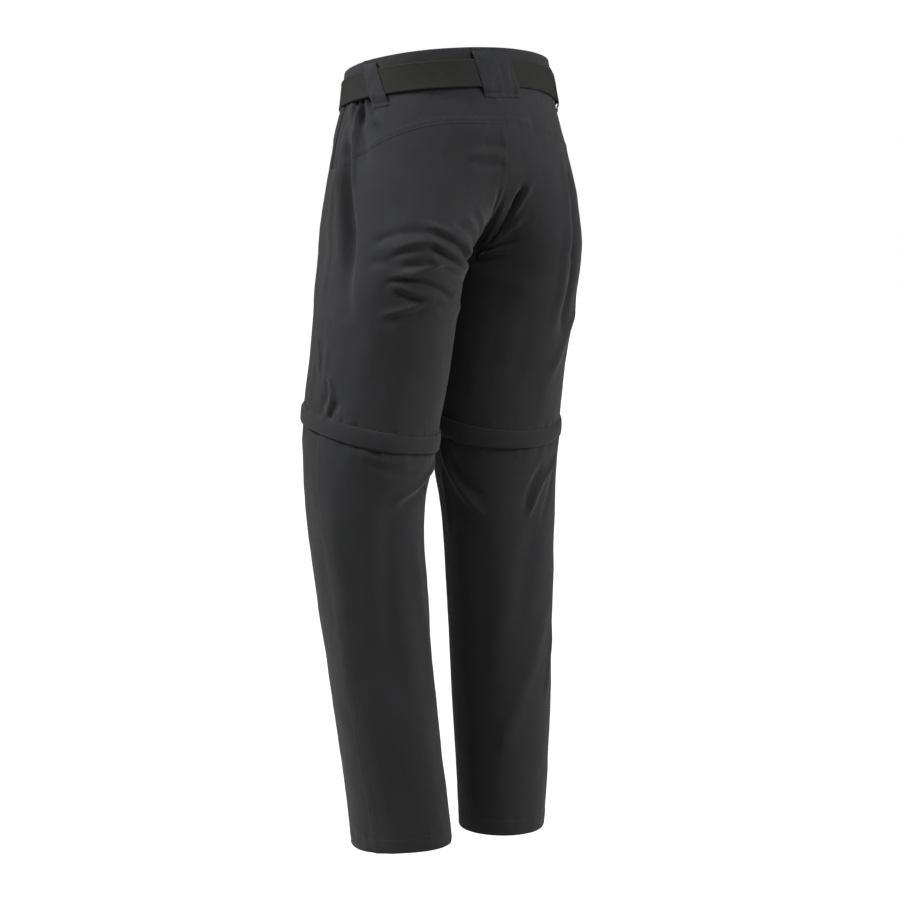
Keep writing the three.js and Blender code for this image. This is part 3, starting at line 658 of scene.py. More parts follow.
# A solid swept along sections (stations, corners, 3), closed round each, with capped ends or joined.
def sweep(name, material, sections, flow, joined=False, sharp=50):
    stations, corners = sections.shape[:2]
    points = sections.reshape(-1, 3)
    wide = flow.shape[1]
    flowFlat = flow.reshape(-1, 2)
    quads = gridQuads(stations, corners, joined, True)
    last = stations if joined else stations - 1
    flows = flowFlat[gridQuads(len(flow), wide).reshape(-1, wide - 1, 4)[:last, :corners].reshape(-1, 4)]
    if not joined:
        # Each end is closed by a strip of quads across the section.
        k = np.arange(corners // 2 - 1)
        for station, turned in ((0, False), (stations - 1, True)):
            at = station * corners
            cap = np.stack([at + k, at + corners - 1 - k, at + corners - 2 - k, at + k + 1], -1)
            cap = cap[:, ::-1] if turned else cap
            quads = np.concatenate([quads, cap])
            flows = np.concatenate([flows, flowFlat[np.clip(cap - at, 0, corners - 1) + station * wide]])
    quads, flows = outwardQuads(points, quads, flows)
    return makeObject(name, points, quads, material, flows, sharp)


# Every piece rides the one body, and the solid it stands for is hidden.
def place(obj, node, slot, **sheet):
    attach(obj, "root")
    if node:
        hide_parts(node)
    return obj


# Steps from 0 to 1 for a run in millimetres: fine at both ends, near even between.
def edgeSteps(run, pitch):
    near = np.array([0, 0.5, 1.1, 1.9, 3.0, 4.6]) / run
    inner = np.linspace(near[-1], 1 - near[-1], max(int(run / pitch), 4))
    return np.concatenate([near[:-1], inner, 1 - near[:-1][::-1]])


# Flow of a ring or section whose last column comes back to the first, further round by step.
def closedFlow(around, level, step=0):
    return np.stack([np.concatenate([around, around[:, :1] + step], 1),
                     -np.concatenate([level, level[:, :1]], 1)], -1)


waistQuarter = 200


# Millimetres round the waist at an angle: quarters of a turn times a quarter's length.
def roundWaist(degrees):
    return degrees / 90 * waistQuarter


# Share where a panel starts: half a gap from the side seam.
def seamShare(level):
    return halfGap / runAt(level)


# Share where a panel ends: half a gap short of the centre.
def toCentre(level):
    return 1 - seamShare(level)


# Share of the pocket mouth, ahead of the side seam.
def mouthShare(level):
    bandBottom = trousers["bandBottom"]
    return 0.082 + 0.034 * (level - bandBottom) / (trousers["mouthEnd"] - bandBottom)


# Shares and levels of a panel's grid: levelAt gives the level from the share and the step down.
def panelGrid(face, levelAt, down, across, end=toCentre):
    k, v = np.meshgrid(across, down)
    guess = levelAt(k, v)
    low = seamShare(guess)
    t = low + (end(guess) - low) * k
    return face * t, levelAt(t, v)


# A wall of cloth from the outer face, lifted by extra, to the inner one.
def clothPanel(name, material, side, share, level, extra=0.0, innerLift=-cloth):
    flow = np.stack([share * runAt(level), -level], -1)
    return wall(name, material, clothPoint(side, share, level, extra, 1.0),
                clothPoint(side, share, level, innerLift, 0.8), flow)


# Flat cut of a panel between two levels: widest run by length, and its area by adding up strips.
def cutSize(fromLevel, toLevel):
    levels = np.linspace(fromLevel, toLevel, 60)
    run = runAt(levels)
    length = toLevel - fromLevel
    area = np.mean(run) * length
    return dict(flat=(run.max() * mm, length * mm), area=area * mm * mm)


# Materials


# A material with its nodes and its main shader.
def newMaterial(name):
    material = bpy.data.materials.new(name)
    material.use_nodes = True
    tree = material.node_tree
    return material, tree, tree.nodes["Principled BSDF"]


# Sets sockets by name or number: a link where the value is a socket, otherwise the value itself.
def feed(tree, node, values):
    for key, value in values.items():
        if isinstance(value, bpy.types.NodeSocket):
            tree.links.new(value, node.inputs[key])
        else:
            node.inputs[key].default_value = value


# A node: first its settings, then its sockets.
def addNode(tree, kind, values=None, **settings):
    node = tree.nodes.new(kind)
    for key, value in settings.items():
        setattr(node, key, value)
    feed(tree, node, values or {})
    return node


# What an operation makes of two or three values or sockets.
def mathNode(tree, operation, *values):
    return addNode(tree, "ShaderNodeMath", dict(enumerate(values)), operation=operation).outputs[0]


# A node group with sockets by name and kind, and its start and end nodes.
def newGroup(name, inputs, outputs):
    group = bpy.data.node_groups.new(name, "ShaderNodeTree")
    for label, kind in inputs:
        group.interface.new_socket(label, in_out="INPUT", socket_type=kind)
    for label, kind in outputs:
        group.interface.new_socket(label, in_out="OUTPUT", socket_type=kind)
    return group, group.nodes.new("NodeGroupInput"), group.nodes.new("NodeGroupOutput")


# Twill: threads cross as two sine waves, and their product leans along a diagonal rib.
def makeTwill():
    group, start, end = newGroup(
        "twillWeave",
        [("Flow", "NodeSocketVector"), ("Threads", "NodeSocketFloat")],
        [("Height", "NodeSocketFloat"), ("Slub", "NodeSocketFloat")],
    )
    flow = start.outputs["Flow"]
    split = addNode(group, "ShaderNodeSeparateXYZ", {0: flow})
    turns = mathNode(group, "MULTIPLY", start.outputs["Threads"], 2 * math.pi)
    warp = mathNode(group, "MULTIPLY", split.outputs[0], turns)
    weft = mathNode(group, "MULTIPLY", split.outputs[1], turns)
    diagonal = mathNode(group, "MULTIPLY", mathNode(group, "ADD", warp, weft), 0.5)
    lean = mathNode(group, "SUBTRACT", warp, mathNode(group, "MULTIPLY", weft, 0.5))
    height = mathNode(group, "ADD",
                      mathNode(group, "MULTIPLY", mathNode(group, "SINE", diagonal), 0.6),
                      mathNode(group, "MULTIPLY", mathNode(group, "SINE", lean), 0.4))
    stretched = addNode(group, "ShaderNodeMapping", {"Vector": flow, "Scale": (900, 160, 1)})
    slub = addNode(group, "ShaderNodeTexNoise", {"Vector": stretched.outputs[0], "Scale": 1.0, "Detail": 3.0},
                   noise_dimensions="2D")
    feed(group, end, {"Height": height, "Slub": slub.outputs[0]})
    return group


twillWeave = makeTwill()


# Dark cloth: two close tones mixed by slubs and soft patches, a twill bump and a soft sheen.
# threads is to a metre, and depth is the bump's, in metres.
def clothMaterial(name, dark, light, threads, depth, roughness, sheen):
    material, tree, shader = newMaterial(name)
    flow = addNode(tree, "ShaderNodeUVMap", uv_map="flow").outputs[0]
    weave = addNode(tree, "ShaderNodeGroup", {"Threads": threads, "Flow": flow}, node_tree=twillWeave)
    patches = addNode(tree, "ShaderNodeTexNoise", {"Scale": 26.0, "Detail": 4.0, "Vector": flow})
    blend = mathNode(tree, "ADD", mathNode(tree, "MULTIPLY", weave.outputs["Slub"], 0.55),
                     mathNode(tree, "MULTIPLY", patches.outputs[0], 0.45))
    tone = mathNode(tree, "MULTIPLY_ADD", weave.outputs["Height"], 0.18, blend)
    mix = addNode(tree, "ShaderNodeMix", {"Factor": tone, "A": (*dark, 1), "B": (*light, 1)},
                  data_type="RGBA")
    bump = addNode(tree, "ShaderNodeBump",
                   {"Strength": 1.0, "Distance": depth, "Height": weave.outputs["Height"]})
    feed(tree, shader, {
        "Base Color": mix.outputs["Result"], "Normal": bump.outputs[0], "Roughness": roughness,
        "Specular IOR Level": 0.35, "Sheen Weight": sheen, "Sheen Roughness": 0.45})
    return material


# Hard pieces: one tone broken by fine noise, with roughness from the same noise.
def hardMaterial(name, colour, roughness, metallic=0.0, grain=900.0, coat=0.0):
    material, tree, shader = newMaterial(name)
    where = addNode(tree, "ShaderNodeTexCoord").outputs["Object"]
    noise = addNode(tree, "ShaderNodeTexNoise", {"Scale": grain, "Detail": 3.0, "Vector": where}).outputs[0]
    tones = {"A": (*(0.75 * c for c in colour), 1), "B": (*(1.25 * c for c in colour), 1)}
    mix = addNode(tree, "ShaderNodeMix", {"Factor": noise, **tones}, data_type="RGBA")
    bump = addNode(tree, "ShaderNodeBump", {"Distance": 0.00003, "Height": noise})
    feed(tree, shader, {
        "Base Color": mix.outputs["Result"], "Normal": bump.outputs[0], "Metallic": metallic,
        "Roughness": mathNode(tree, "MULTIPLY_ADD", noise, 0.16, roughness - 0.08), "Coat Weight": coat})
    return material


charcoal = clothMaterial(
    "charcoalCloth", (0.034, 0.035, 0.038), (0.056, 0.057, 0.061), 1400, 0.00009, 0.72, 0.34)
facingCloth = clothMaterial(
    "facingCloth", (0.038, 0.039, 0.042), (0.060, 0.061, 0.065), 1400, 0.00009, 0.74, 0.22)
webbing = clothMaterial(
    "beltWebbing", (0.024, 0.024, 0.021), (0.046, 0.046, 0.041), 620, 0.00022, 0.66, 0.12)
zipTape = clothMaterial("zipTape", (0.018, 0.018, 0.020), (0.032, 0.032, 0.034), 1100, 0.00008, 0.7, 0.1)
# The thread is lighter than the cloth: its own grey tone, raised further as a painted highlight on the
# stitches.
thread = hardMaterial("sewingThread", (0.118, 0.120, 0.125), 0.62)
coilNylon = hardMaterial("coilNylon", (0.030, 0.030, 0.033), 0.38)
sliderEnamel = hardMaterial("sliderEnamel", (0.050, 0.051, 0.054), 0.3, 0.6, 600.0, 0.4)
buttonPlastic = hardMaterial("buttonPlastic", (0.022, 0.022, 0.024), 0.42)
bucklePlastic = hardMaterial("bucklePlastic", (0.030, 0.030, 0.031), 0.46)
print("finishes ready")


# At the pocket mouth: stitch rows from its edge, and how far the edge rolls down.
mouthRows = (seams["row"], 7.5)
mouthRoll = 1.5

# Panels: yokes, backs, fronts, pocket facings and lower legs, each on the form of its solid
sides = ((1, "left"), (-1, "right"))
panelTop = trousers["bandBottom"] + trousers["seamGap"]
panelPitch = dict(backAcross=2.5, backDown=2.4, frontAcross=2.9, frontDown=2.8,
                  lowerAcross=2.9, lowerDown=2.9)


# From the waistband down to half a gap above the yoke's seam.
def makeYoke(side, word):
    # Level between the panel's top and bottom edges, by the step down.
    def levelAt(t, v):
        return panelTop * (1 - v) + (yokeSeam(word, t) - halfGap) * v
    share, level = panelGrid(1, levelAt, edgeSteps(65, 2.2), edgeSteps(215, 2.4))
    yoke = clothPanel(f"yoke_{word}_cloth", charcoal, side, share, level)
    place(yoke, f"yoke_{word}", "cloth", held="hung", rests_on=["waistband_cloth"],
          flat=(0.225, 0.090), area=0.0138)


# From half a gap below the yoke's seam down to the zip.
def makeBack(side, word):
    # Level between the panel's top and bottom edges, by the step down.
    def levelAt(t, v):
        return (yokeSeam(word, t) + halfGap) * (1 - v) + trousers["thighEnd"] * v
    share, level = panelGrid(1, levelAt, edgeSteps(355, panelPitch["backDown"]),
                             edgeSteps(300, panelPitch["backAcross"]))
    back = clothPanel(f"back_{word}_cloth", charcoal, side, share, level)
    place(back, f"back_{word}", "cloth", held="hung", rests_on=[f"yoke_{word}_cloth"],
          **cutSize(105, trousers["thighEnd"]))


# From the waistband down to the zip. Beside the pocket it starts at the mouth. Below the mouth only
# the columns nearest it reach out to the side seam, all of them 60 mm lower.
def makeFront(side, word):
    mouthEnd = trousers["mouthEnd"]
    down = np.concatenate([
        panelTop + (mouthEnd - panelTop) * edgeSteps(mouthEnd - panelTop, panelPitch["frontDown"]),
        mouthEnd + 0.4 + (trousers["thighEnd"] - mouthEnd - 0.4) * edgeSteps(334, panelPitch["frontDown"]),
    ])
    across, level = np.meshgrid(edgeSteps(290, panelPitch["frontAcross"]), down)
    mouth, seam, end = mouthShare(np.minimum(level, mouthEnd)), seamShare(level), toCentre(level)
    beside = mouth + (end - mouth) * across
    near = beside - (mouth - seam) * np.maximum(1 - across / 0.15, 0)
    spread = ease((level - mouthEnd) / 60)
    below = near * (1 - spread) + (seam + (end - seam) * across) * spread
    share = -np.where(level > mouthEnd + 0.2, below, beside)
    # The pocket edge is folded under: a little thicker along the mouth.
    fromMouth = (-share - mouthShare(level)) * runAt(level)
    fold = 0.4 * ease((12 - fromMouth) / 4) * ease((mouthEnd + 8 - level) / 6)
    dips = bell(fromMouth - mouthRows[0], 0.9) + bell(fromMouth - mouthRows[1], 0.9)
    atMouth = ease((mouthEnd + 3 - level) / 3)
    extra = fold * (1 - 0.3 * dips) - mouthRoll * bell(fromMouth, 2.2) * atMouth
    # The turned edge rests on the pocket facing.
    rest = 0.5 * bell(fromMouth, 3.5) * ease((mouthEnd + 4 - level) / 4)
    front = clothPanel(f"front_{word}_cloth", charcoal, side, share, level, extra, -cloth - rest)
    place(front, f"front_{word}", "cloth", held="hung", rests_on=["waistband_cloth"],
          **cutSize(panelTop, trousers["thighEnd"]))


# The strip between the side seam and the mouth, sinking under the front beside it and below it.
def makeFacing(side, word):
    under = cloth + 0.5
    mouthEnd = trousers["mouthEnd"]
    end = 146
    share, level = panelGrid(-1, lambda t, v: panelTop + (end - panelTop) * v, edgeSteps(103, 2.2),
                             edgeSteps(36, 2.0), lambda level: mouthShare(level) + 0.075)
    across = ease((-share / mouthShare(np.minimum(level, mouthEnd)) - 0.35) / 0.6)
    lift = -under * np.maximum(across, ease((level - mouthEnd + 14) / 12))
    facing = clothPanel(f"pocket_facing_{word}_cloth", facingCloth, side, share, level, lift, lift - cloth)
    place(facing, f"pocket_facing_{word}", "cloth", held="hung", rests_on=["waistband_cloth"],
          flat=(0.042, 0.103), area=0.0038)


# From the zip down to the hem, which is turned up: thicker over its depth and rolled at the edge.
def makeLower(side, word, face):
    part = "back" if face > 0 else "front"
    top, bottom = trousers["lowerStart"], trousers["hemLevel"]
    hemFold = bottom - trousers["hemTurn"]
    down = np.concatenate([
        top + (hemFold - top) * edgeSteps(535, panelPitch["lowerDown"]),
        hemFold + np.array([0.8, 2, 4, 7, 10, 13, 16, 18.5, 20, 21, 21.6, 22]),
    ])
    share, level = panelGrid(face, lambda t, v: v + 0 * t, down, edgeSteps(225, panelPitch["lowerAcross"]))
    turned = ease((level - hemFold) / 1.0)
    roll = 0.5 * ease((level - bottom + 1.6) / 1.6)
    lower = clothPanel(f"lower_{part}_{word}_cloth", charcoal, side, share, level, 0.25 * turned - roll,
                       -cloth * (1 + turned) + roll)
    place(lower, f"lower_{part}_{word}", "cloth", held="hung", rests_on=[f"zip_lower_{word}_teeth"],
          **cutSize(top, bottom))


for side, word in sides:
    makeYoke(side, word)
    makeBack(side, word)
    makeFront(side, word)
    makeFacing(side, word)
    for face in (1, -1):
        makeLower(side, word, face)
print("panels made")


# Knee flaps: sewn along the top, rounded over the zip, hanging free at the bottom
flapForm = dict(sliderShare=-0.4, sliderRise=2.9, bumpFull=32, bumpGone=62)


# A ring of cloth down from the flap's row. It puffs, hangs looser lower down and rises over the slider.
def makeFlap(side, word):
    top, deep = trousers["flapTop"], trousers["flapBottom"] - trousers["flapTop"]
    share = np.linspace(-1, 1, 281)[:-1]
    down = np.array([0, 0.6, 1.4, 2.4, 4, 6, 8.5, 11, 13.5, 16, 18.5, 20.5, 22, 23, 23.6, 24])
    share, down = np.meshgrid(share, down)
    level = top + down
    run = runAt(level)
    across = share * run
    lift = np.interp(down, [0, 3, 8, deep], [0.5, 0.5, 0.9, 1.1])
    away = np.abs(share - flapForm["sliderShare"]) * run
    span = flapForm["bumpGone"] - flapForm["bumpFull"]
    bump = flapForm["sliderRise"] * ease((flapForm["bumpGone"] - away) / span) * ease(down / 7)
    ring = np.minimum(1, (1 - np.abs(share)) * run / 20)
    loose = ease(down / deep)
    wave = ring * (0.5 * loose * softNoise(across, down, 26, 40, 131 + side)
                   + 0.35 * softNoise(across, down, 7, 30, 141 + side) * np.exp(-down / 6)
                   + 0.2 * loose * softNoise(across, down, 9, 30, 151 + side))
    puff = 1.0 * np.sin(np.pi * np.clip(down / deep, 0, 1) ** 0.55) ** 0.8
    rowDip = 0.35 * bell(down - seams["row"], 0.8)
    roll = 0.45 * ease((down - 22.6) / 1.4) + 0.35 * ease((0.9 - down) / 0.9)
    hang = 0.7 * loose * (1 + 0.7 * softNoise(across, 0, 37, 1, 171 + side))
    outerLift = lift + trousers["flapThick"] + bump + wave + puff - rowDip - roll + hang
    innerLift = lift + bump + 0.5 * (np.abs(wave) + wave) + 0.3 * puff + hang
    edge = level + ring * 1.2 * loose * softNoise(across, 0, 31, 1, 161 + side)
    flow = closedFlow(across, level, 2 * run[:, :1])
    flap = wall(f"knee_flap_{word}_cloth", charcoal, clothPoint(side, share, edge, outerLift),
                clothPoint(side, share, edge, innerLift), flow, joined=True)
    place(flap, f"knee_flap_{word}", "cloth", held="hung",
          rests_on=[f"back_{word}_cloth", f"front_{word}_cloth"], flat=(0.566, 0.024))


for side, word in sides:
    makeFlap(side, word)
print("knee flaps made")


# Zips: each half is a tape inside the leg with its half of the coil along its edge
zipForm = dict(tapeEnd=453.2, tapeLift=-1.9, tapeThick=1.0, coilLift=-0.1, toothPitch=2.2, tooth=1.15,
               middle=467.6)


# The tape's section runs from its end to the coil, with a thicker edge. The lower half mirrors it.
def makeZipHalf(side, word, part):
    coilFrom = trousers["thighEnd"] + trousers["seamGap"]
    coilTo = coilFrom + trousers["coilHalf"]
    end, high = zipForm["tapeEnd"], zipForm["tapeLift"]
    low = high - zipForm["tapeThick"]
    tape = np.array([
        [end, low], [coilFrom - 2, low], [coilTo, low], [coilTo, high + 0.3],
        [coilFrom - 0.4, high + 0.3], [coilFrom - 0.4, high], [coilFrom - 2, high], [end, high]])
    mirror = 2 * coilTo + trousers["seamGap"]
    if part == "lower":
        tape = np.stack([mirror - tape[::-1, 0], tape[::-1, 1]], -1)
    share = np.linspace(-1, 1, 201)[:, None]
    sections = clothPoint(side, share[:-1], tape[None, :, 0], tape[None, :, 1])
    flow = np.stack(asGrids(share * zipRun, -np.append(tape[:, 0], tape[0, 0])), -1)
    tapeMesh = sweep(f"zip_{part}_{word}_tape", zipTape, sections, flow, joined=True)
    place(tapeMesh, f"zip_{part}_{word}", "zip_tape", held="stretched",
          rests_on=[f"lower_back_{word}_cloth"], flat=(0.564, 0.0142))
    reach = np.array([0.1, 0.35, 0.75, 0.98]) * (coilTo - coilFrom) + coilFrom
    teeth = coilTeeth(f"zip_{part}_{word}_teeth", side, mirror - reach if part == "lower" else reach)
    place(teeth, f"zip_{part}_{word}", "zip_tape")


# Coil teeth: blocks with a narrow waist and a wide head, one every pitch round the leg.
def coilTeeth(name, side, level):
    count = int(2 * zipRun / zipForm["toothPitch"])
    middle = np.linspace(-1, 1, count + 1)[:-1]
    wide = np.array([1.0, 0.75, 1.15, 0.8]) * zipForm["tooth"] / 2 / zipRun
    high = zipForm["coilLift"] - np.array([0.3, 0.1, 0.0, 0.35])
    foot = np.full(4, zipForm["tapeLift"] + 0.32)
    share = middle[:, None, None] + wide[None, :, None] * np.array([-1, 1, 1, -1])
    lift = np.stack([foot, foot, high, high], -1)
    points = clothPoint(side, share, level[None, :, None], lift[None]).reshape(count, 16, 3)
    one = np.concatenate([gridQuads(4, 4, joinColumns=True), [[3, 2, 1, 0], [12, 13, 14, 15]]])
    if volumeSign(points[0], one) < 0:
        one = one[:, ::-1]
    quads = (one[None] + 16 * np.arange(count)[:, None, None]).reshape(-1, 4)
    return makeObject(name, points.reshape(-1, 3), quads, coilNylon, sharp=35)


# Slider: a body riding on the coil and a flat pull along it. Rows: reach, half height, underside, face.
sliderRows = dict(
    reach=[-6, -5.6, -4.6, -2, 1, 3.4, 4.4, 5.2, 8, 12, 16, 20, 21.6, 22],
    half=[2.6, 4.1, 4.7, 4.9, 4.6, 4.2, 3.4, 2.5, 2.5, 2.7, 2.9, 3.1, 2.7, 1.9],
    under=[0.5, 0.3, 0.25, 0.2, 0.2, 0.25, 0.35, 0.5, 0.6, 0.7, 0.8, 0.85, 0.9, 1.0],
    over=[1.6, 2.0, 2.15, 2.2, 2.2, 2.15, 2.1, 1.9, 1.8, 1.8, 1.8, 1.8, 1.75, 1.6],
)


# Each section is a rounded box: a circle's sine and cosine raised to a low power.
def makeSlider(side, word):
    table = {key: np.array(value) for key, value in sliderRows.items()}
    angle = np.linspace(0, 2 * np.pi, 17)[:-1] + np.pi / 16
    squareness = 0.35
    a = np.sign(np.cos(angle)) * np.abs(np.cos(angle)) ** squareness
    b = np.sign(np.sin(angle)) * np.abs(np.sin(angle)) ** squareness
    share = flapForm["sliderShare"] + table["reach"] / zipRun
    level = zipForm["middle"] + table["half"][:, None] * a
    over, under = table["over"][:, None], table["under"][:, None]
    lift = (over + under) / 2 + (over - under) / 2 * b
    sections = clothPoint(side, share[:, None], level, lift)
    flow = np.zeros((len(share), 17, 2))
    slider = sweep(f"zip_slider_{word}_body", sliderEnamel, sections, flow)
    place(slider, f"zip_slider_{word}", "zip_slider")


for side, word in sides:
    for part in ("upper", "lower"):
        makeZipHalf(side, word, part)
    makeSlider(side, word)
print("zips made")


# Waistband: its left end laps over the right end, which runs on beneath it at the centre front
band = dict(start=0.4, end=380, stations=420, sinkFrom=347, sinkOver=12)
bandRows = (2.6, 40.2)


# How deep the end beneath lies under the lap.
def bandSink(degrees):
    return -(trousers["bandThick"] + 0.3) * ease((degrees - band["sinkFrom"]) / band["sinkOver"])


# Small waves of the waistband, long and slanting.
def bandRipple(around, level):
    slant = around + 0.8 * level
    return (0.5 * softNoise(slant, level, 9, 14, 171) + 0.5 * softNoise(around, level, 52, 60, 172)
            + 0.35 * softNoise(slant, level, 24, 7, 173))


# A closed section carried round: outer face, lower edge, inner face and top edge.
def makeWaistband():
    thick, bottom = trousers["bandThick"], trousers["bandBottom"]
    d = np.linspace(band["start"], band["end"], band["stations"])[:, None]
    outer = np.array([0.25, 0.8, 1.8, 2.8, 4.5, 7, 10, 14, 18, 22, 26, 30, 34, 37, 39.2, 40.4, 41.4,
                      42.2, 42.75])
    profile = np.concatenate([
        np.stack([outer, -0.5 * np.exp(-outer / 0.5) - 0.5 * np.exp(-(bottom - outer) / 0.5)], -1),
        [[bottom, -0.9], [bottom, -thick + 0.5]],
        np.stack([bottom - np.array([0.5, 6, 14, 22, 30, 37, 42.4]), np.full(7, -thick)], -1),
        [[0.05, -thick + 0.6], [0.0, -0.8]],
    ])
    level = profile[:, 0] + 0 * d
    around = roundWaist(d) + 0 * level
    ripple = bandRipple(around, level)
    dips = -0.22 * (bell(level - bandRows[0], 0.9) + bell(level - bandRows[1], 0.9))
    outside = profile[:, 1] > -1
    lift = profile[:, 1] + bandSink(d) + np.where(outside, 0.6 * ripple + dips, 0.3 * ripple)
    lift = np.minimum(lift, bandSink(d) + 0.25)
    obj = sweep("waistband_cloth", charcoal, waistPoint(d, level, lift), closedFlow(around, level))
    place(obj, "waistband", "cloth", held="stretched", rests_on=["yoke_left_cloth", "yoke_right_cloth"],
          flat=(0.86, 0.043))


makeWaistband()


# Belt: from inside the buckle round the waist, then out over itself as a free end on the left
belt = dict(height=35, thick=1.9, start=-4.5, end=388, rib=2.1, ribRise=0.22)


# Level of the belt's top edge: lower at the back, higher again by the right hip.
def beltTop(d):
    return 13 + 2.5 * ease((d - 60) / 100) + 4 * ease((d - 190) / 60) - 6.5 * ease((d - 270) / 70)


# How far the belt stands off the band: bells beside the back loop, and rises at the buckle.
def beltLift(d):
    stand = 0.9 + 1.9 * bell(d - 152, 16) + 1.3 * bell(d - 252, 22)
    front = 1.6 * (1 - ease((d - 8) / 26)) + 1.6 * ease((d - 318) / 22)
    return stand + front + (belt["thick"] + 0.5) * ease((d - 336) / 12)


# Ribs run across the belt, and each edge is a round cord.
def makeBelt():
    degreesPerMm = 90 / waistQuarter
    stations = int((belt["end"] - belt["start"]) / degreesPerMm / belt["rib"] * 4)
    d = np.linspace(belt["start"], belt["end"], stations)[:, None]
    high, thick = belt["height"], belt["thick"]
    face = np.array([0.35, 1.2, 2.6, 5, 9, 13.5, 17.5, 21.5, 26, 30, 32.4, 33.8, 34.65])
    profile = np.concatenate([
        np.stack([face, np.full(len(face), thick)], -1), [[high, thick - 0.5], [high, 0.5]],
        np.stack([face[::-1], np.zeros(len(face))], -1), [[0, 0.5], [0, thick - 0.5]],
    ])
    down, out = profile.T
    rib = np.cos(2 * np.pi * (d - belt["start"]) / degreesPerMm / belt["rib"])
    flank = ease((down - 1.2) / 1.6) * ease((high - 1.2 - down) / 1.6)
    cord = 0.25 * (bell(down - 1.5, 1.2) + bell(high - 1.5 - down, 1.2))
    raised = np.where(out > thick / 2, cord + 0.5 * belt["ribRise"] * flank * rib, 0)
    sag = 0.5 * softNoise(d, 0, 23, 1, 181)
    level = beltTop(d) + down + sag
    obj = sweep("belt_webbing", webbing, waistPoint(d, level, beltLift(d) + out + raised),
                closedFlow(d / degreesPerMm + 0 * level, level), sharp=60)
    place(obj, "belt", "webbing", held="stretched", rests_on=["waistband_cloth"], flat=(0.87, 0.035))


makeBelt()
print("waistband and belt made")


# Belt loops: strips sewn down above and below the belt and lifted over it. In each row are the
# degrees at its top and bottom, its width in degrees, its columns and the level of its end.
loopRows = dict(
    loop_back_wide=dict(top=177.8, bottom=181.8, wide=21, count=30, end=63),
    loop_side_left=dict(top=107, bottom=118, wide=10, count=16, end=64),
    loop_side_right=dict(top=253, bottom=242, wide=10, count=16, end=66),
    loop_front_left=dict(top=38, bottom=40, wide=9, count=16, end=62),
    loop_front_right=dict(top=322, bottom=320, wide=9, count=16, end=62),
)
loopThick = 1.2
loopRow = 2.2


# Degrees of a loop's point: k runs from -0.5 to 0.5 across it.
def loopPlace(loop, level, k):
    return loop["top"] + (loop["bottom"] - loop["top"]) * level / loop["end"] + k * loop["wide"]


# Lift of a loop over the belt, eased between its sewn ends and the belt's edges.
def loopLift(loop, level, d):
    top, end = beltTop(loop["top"]), loop["end"]
    bottom = top + belt["height"]
    stations = [0.5, 5, top - 5, top - 1.5, top + 10, top + 25, bottom + 1.5, bottom + 5, end - 4.5, end]
    rise = np.interp(level, stations, [0, 0, 0.75, 1, 1.06, 1.06, 1, 0.7, 0, 0])
    return 0.3 + (beltLift(d) + belt["thick"] + 0.1) * rise


# A crowned strip with a dip along each edge's row, pulled down where its ends are tacked.
def makeLoop(name, loop):
    end = loop["end"]
    down = np.concatenate([[0.5, 0.9, 1.6], np.linspace(2.6, end - 2, 44), end - np.array([1.1, 0.5, 0])])
    k, level = np.meshgrid(np.linspace(-0.5, 0.5, loop["count"]), down)
    d = loopPlace(loop, level, k)
    wide = roundWaist(loop["wide"])
    fromEdge = (0.5 - np.abs(k)) * wide
    ends = np.minimum(level - 0.5, end - level)
    crown = 0.45 * ease(fromEdge / 3) - 0.2 * bell(fromEdge - loopRow, 0.8) - 0.35 * ease((0.8 - ends) / 0.8)
    pull = -0.35 * bell(ends - 3, 1.6)
    ripple = (0.7 * softNoise(d * 2.2, level, 4.5, 30, len(name))
              + 0.3 * softNoise(d * 2.2, level, 4, 8, 7 + len(name)))
    inner = loopLift(loop, level, d)
    outer = inner + loopThick + crown + pull + ripple - 0.35
    obj = wall(f"{name}_cloth", charcoal, waistPoint(d, level, outer), waistPoint(d, level, inner),
               np.stack([roundWaist(d), -level], -1))
    place(obj, name, "cloth", held="stretched", rests_on=["waistband_cloth", "belt_webbing"],
          flat=(wide * mm, (end + 4) * mm))


for name, loop in loopRows.items():
    makeLoop(name, loop)


# Fly shield behind the closed centre front. Within seamHalf degrees of the centre the two halves
# are eased into one sheet.
def makeShield():
    d, level = np.meshgrid(np.linspace(-8, 8, 22), np.linspace(44.5, 150, 50))
    sinkBy = -2.2 - 2.4 * ease((level - 60) / 90)
    seamHalf = 1.2

    # Points at a lift, with a straight blend across the centre.
    def at(lift):
        left = waistPoint(seamHalf, level, lift)
        right = waistPoint(-seamHalf, level, lift)
        share = ((d / seamHalf + 1) / 2)[..., None]
        middle = right * (1 - share) + left * share
        return np.where((np.abs(d) < seamHalf)[..., None], middle, waistPoint(d, level, lift))
    obj = wall("fly_shield_cloth", charcoal, at(sinkBy), at(sinkBy - 1.2),
               np.stack([roundWaist(d), -level], -1))
    place(obj, "fly_shield", "cloth", held="hung", rests_on=["waistband_cloth"], flat=(0.036, 0.106))


makeShield()


# Waist button: a turned rim round a dished face, under the belt. Rings of a radius and a lift.
def makeButton():
    radius = np.array([0.02, 1.6, 3.2, 4.6, 5.4, 6.0, 6.8, 7.3, 7.5, 7.4, 6.4, 3.0, 0.02])[:, None]
    lift = np.array([1.35, 1.35, 1.35, 1.4, 1.65, 1.85, 1.9, 1.75, 1.3, 0.8, 0.4, 0.35, 0.35])[:, None]
    centre = dict(degrees=12, level=26)
    degreesPerMm = 1 / 2.3
    angle = np.linspace(0, 2 * np.pi, 41)[:-1]
    points = waistPoint(centre["degrees"] + radius * np.cos(angle) * degreesPerMm,
                        centre["level"] + radius * np.sin(angle), lift)
    flow = np.zeros((len(radius), 41, 2))
    obj = sweep("waist_button_disc", buttonPlastic, points, flow, sharp=40)
    place(obj, "waist_button", "button")


makeButton()


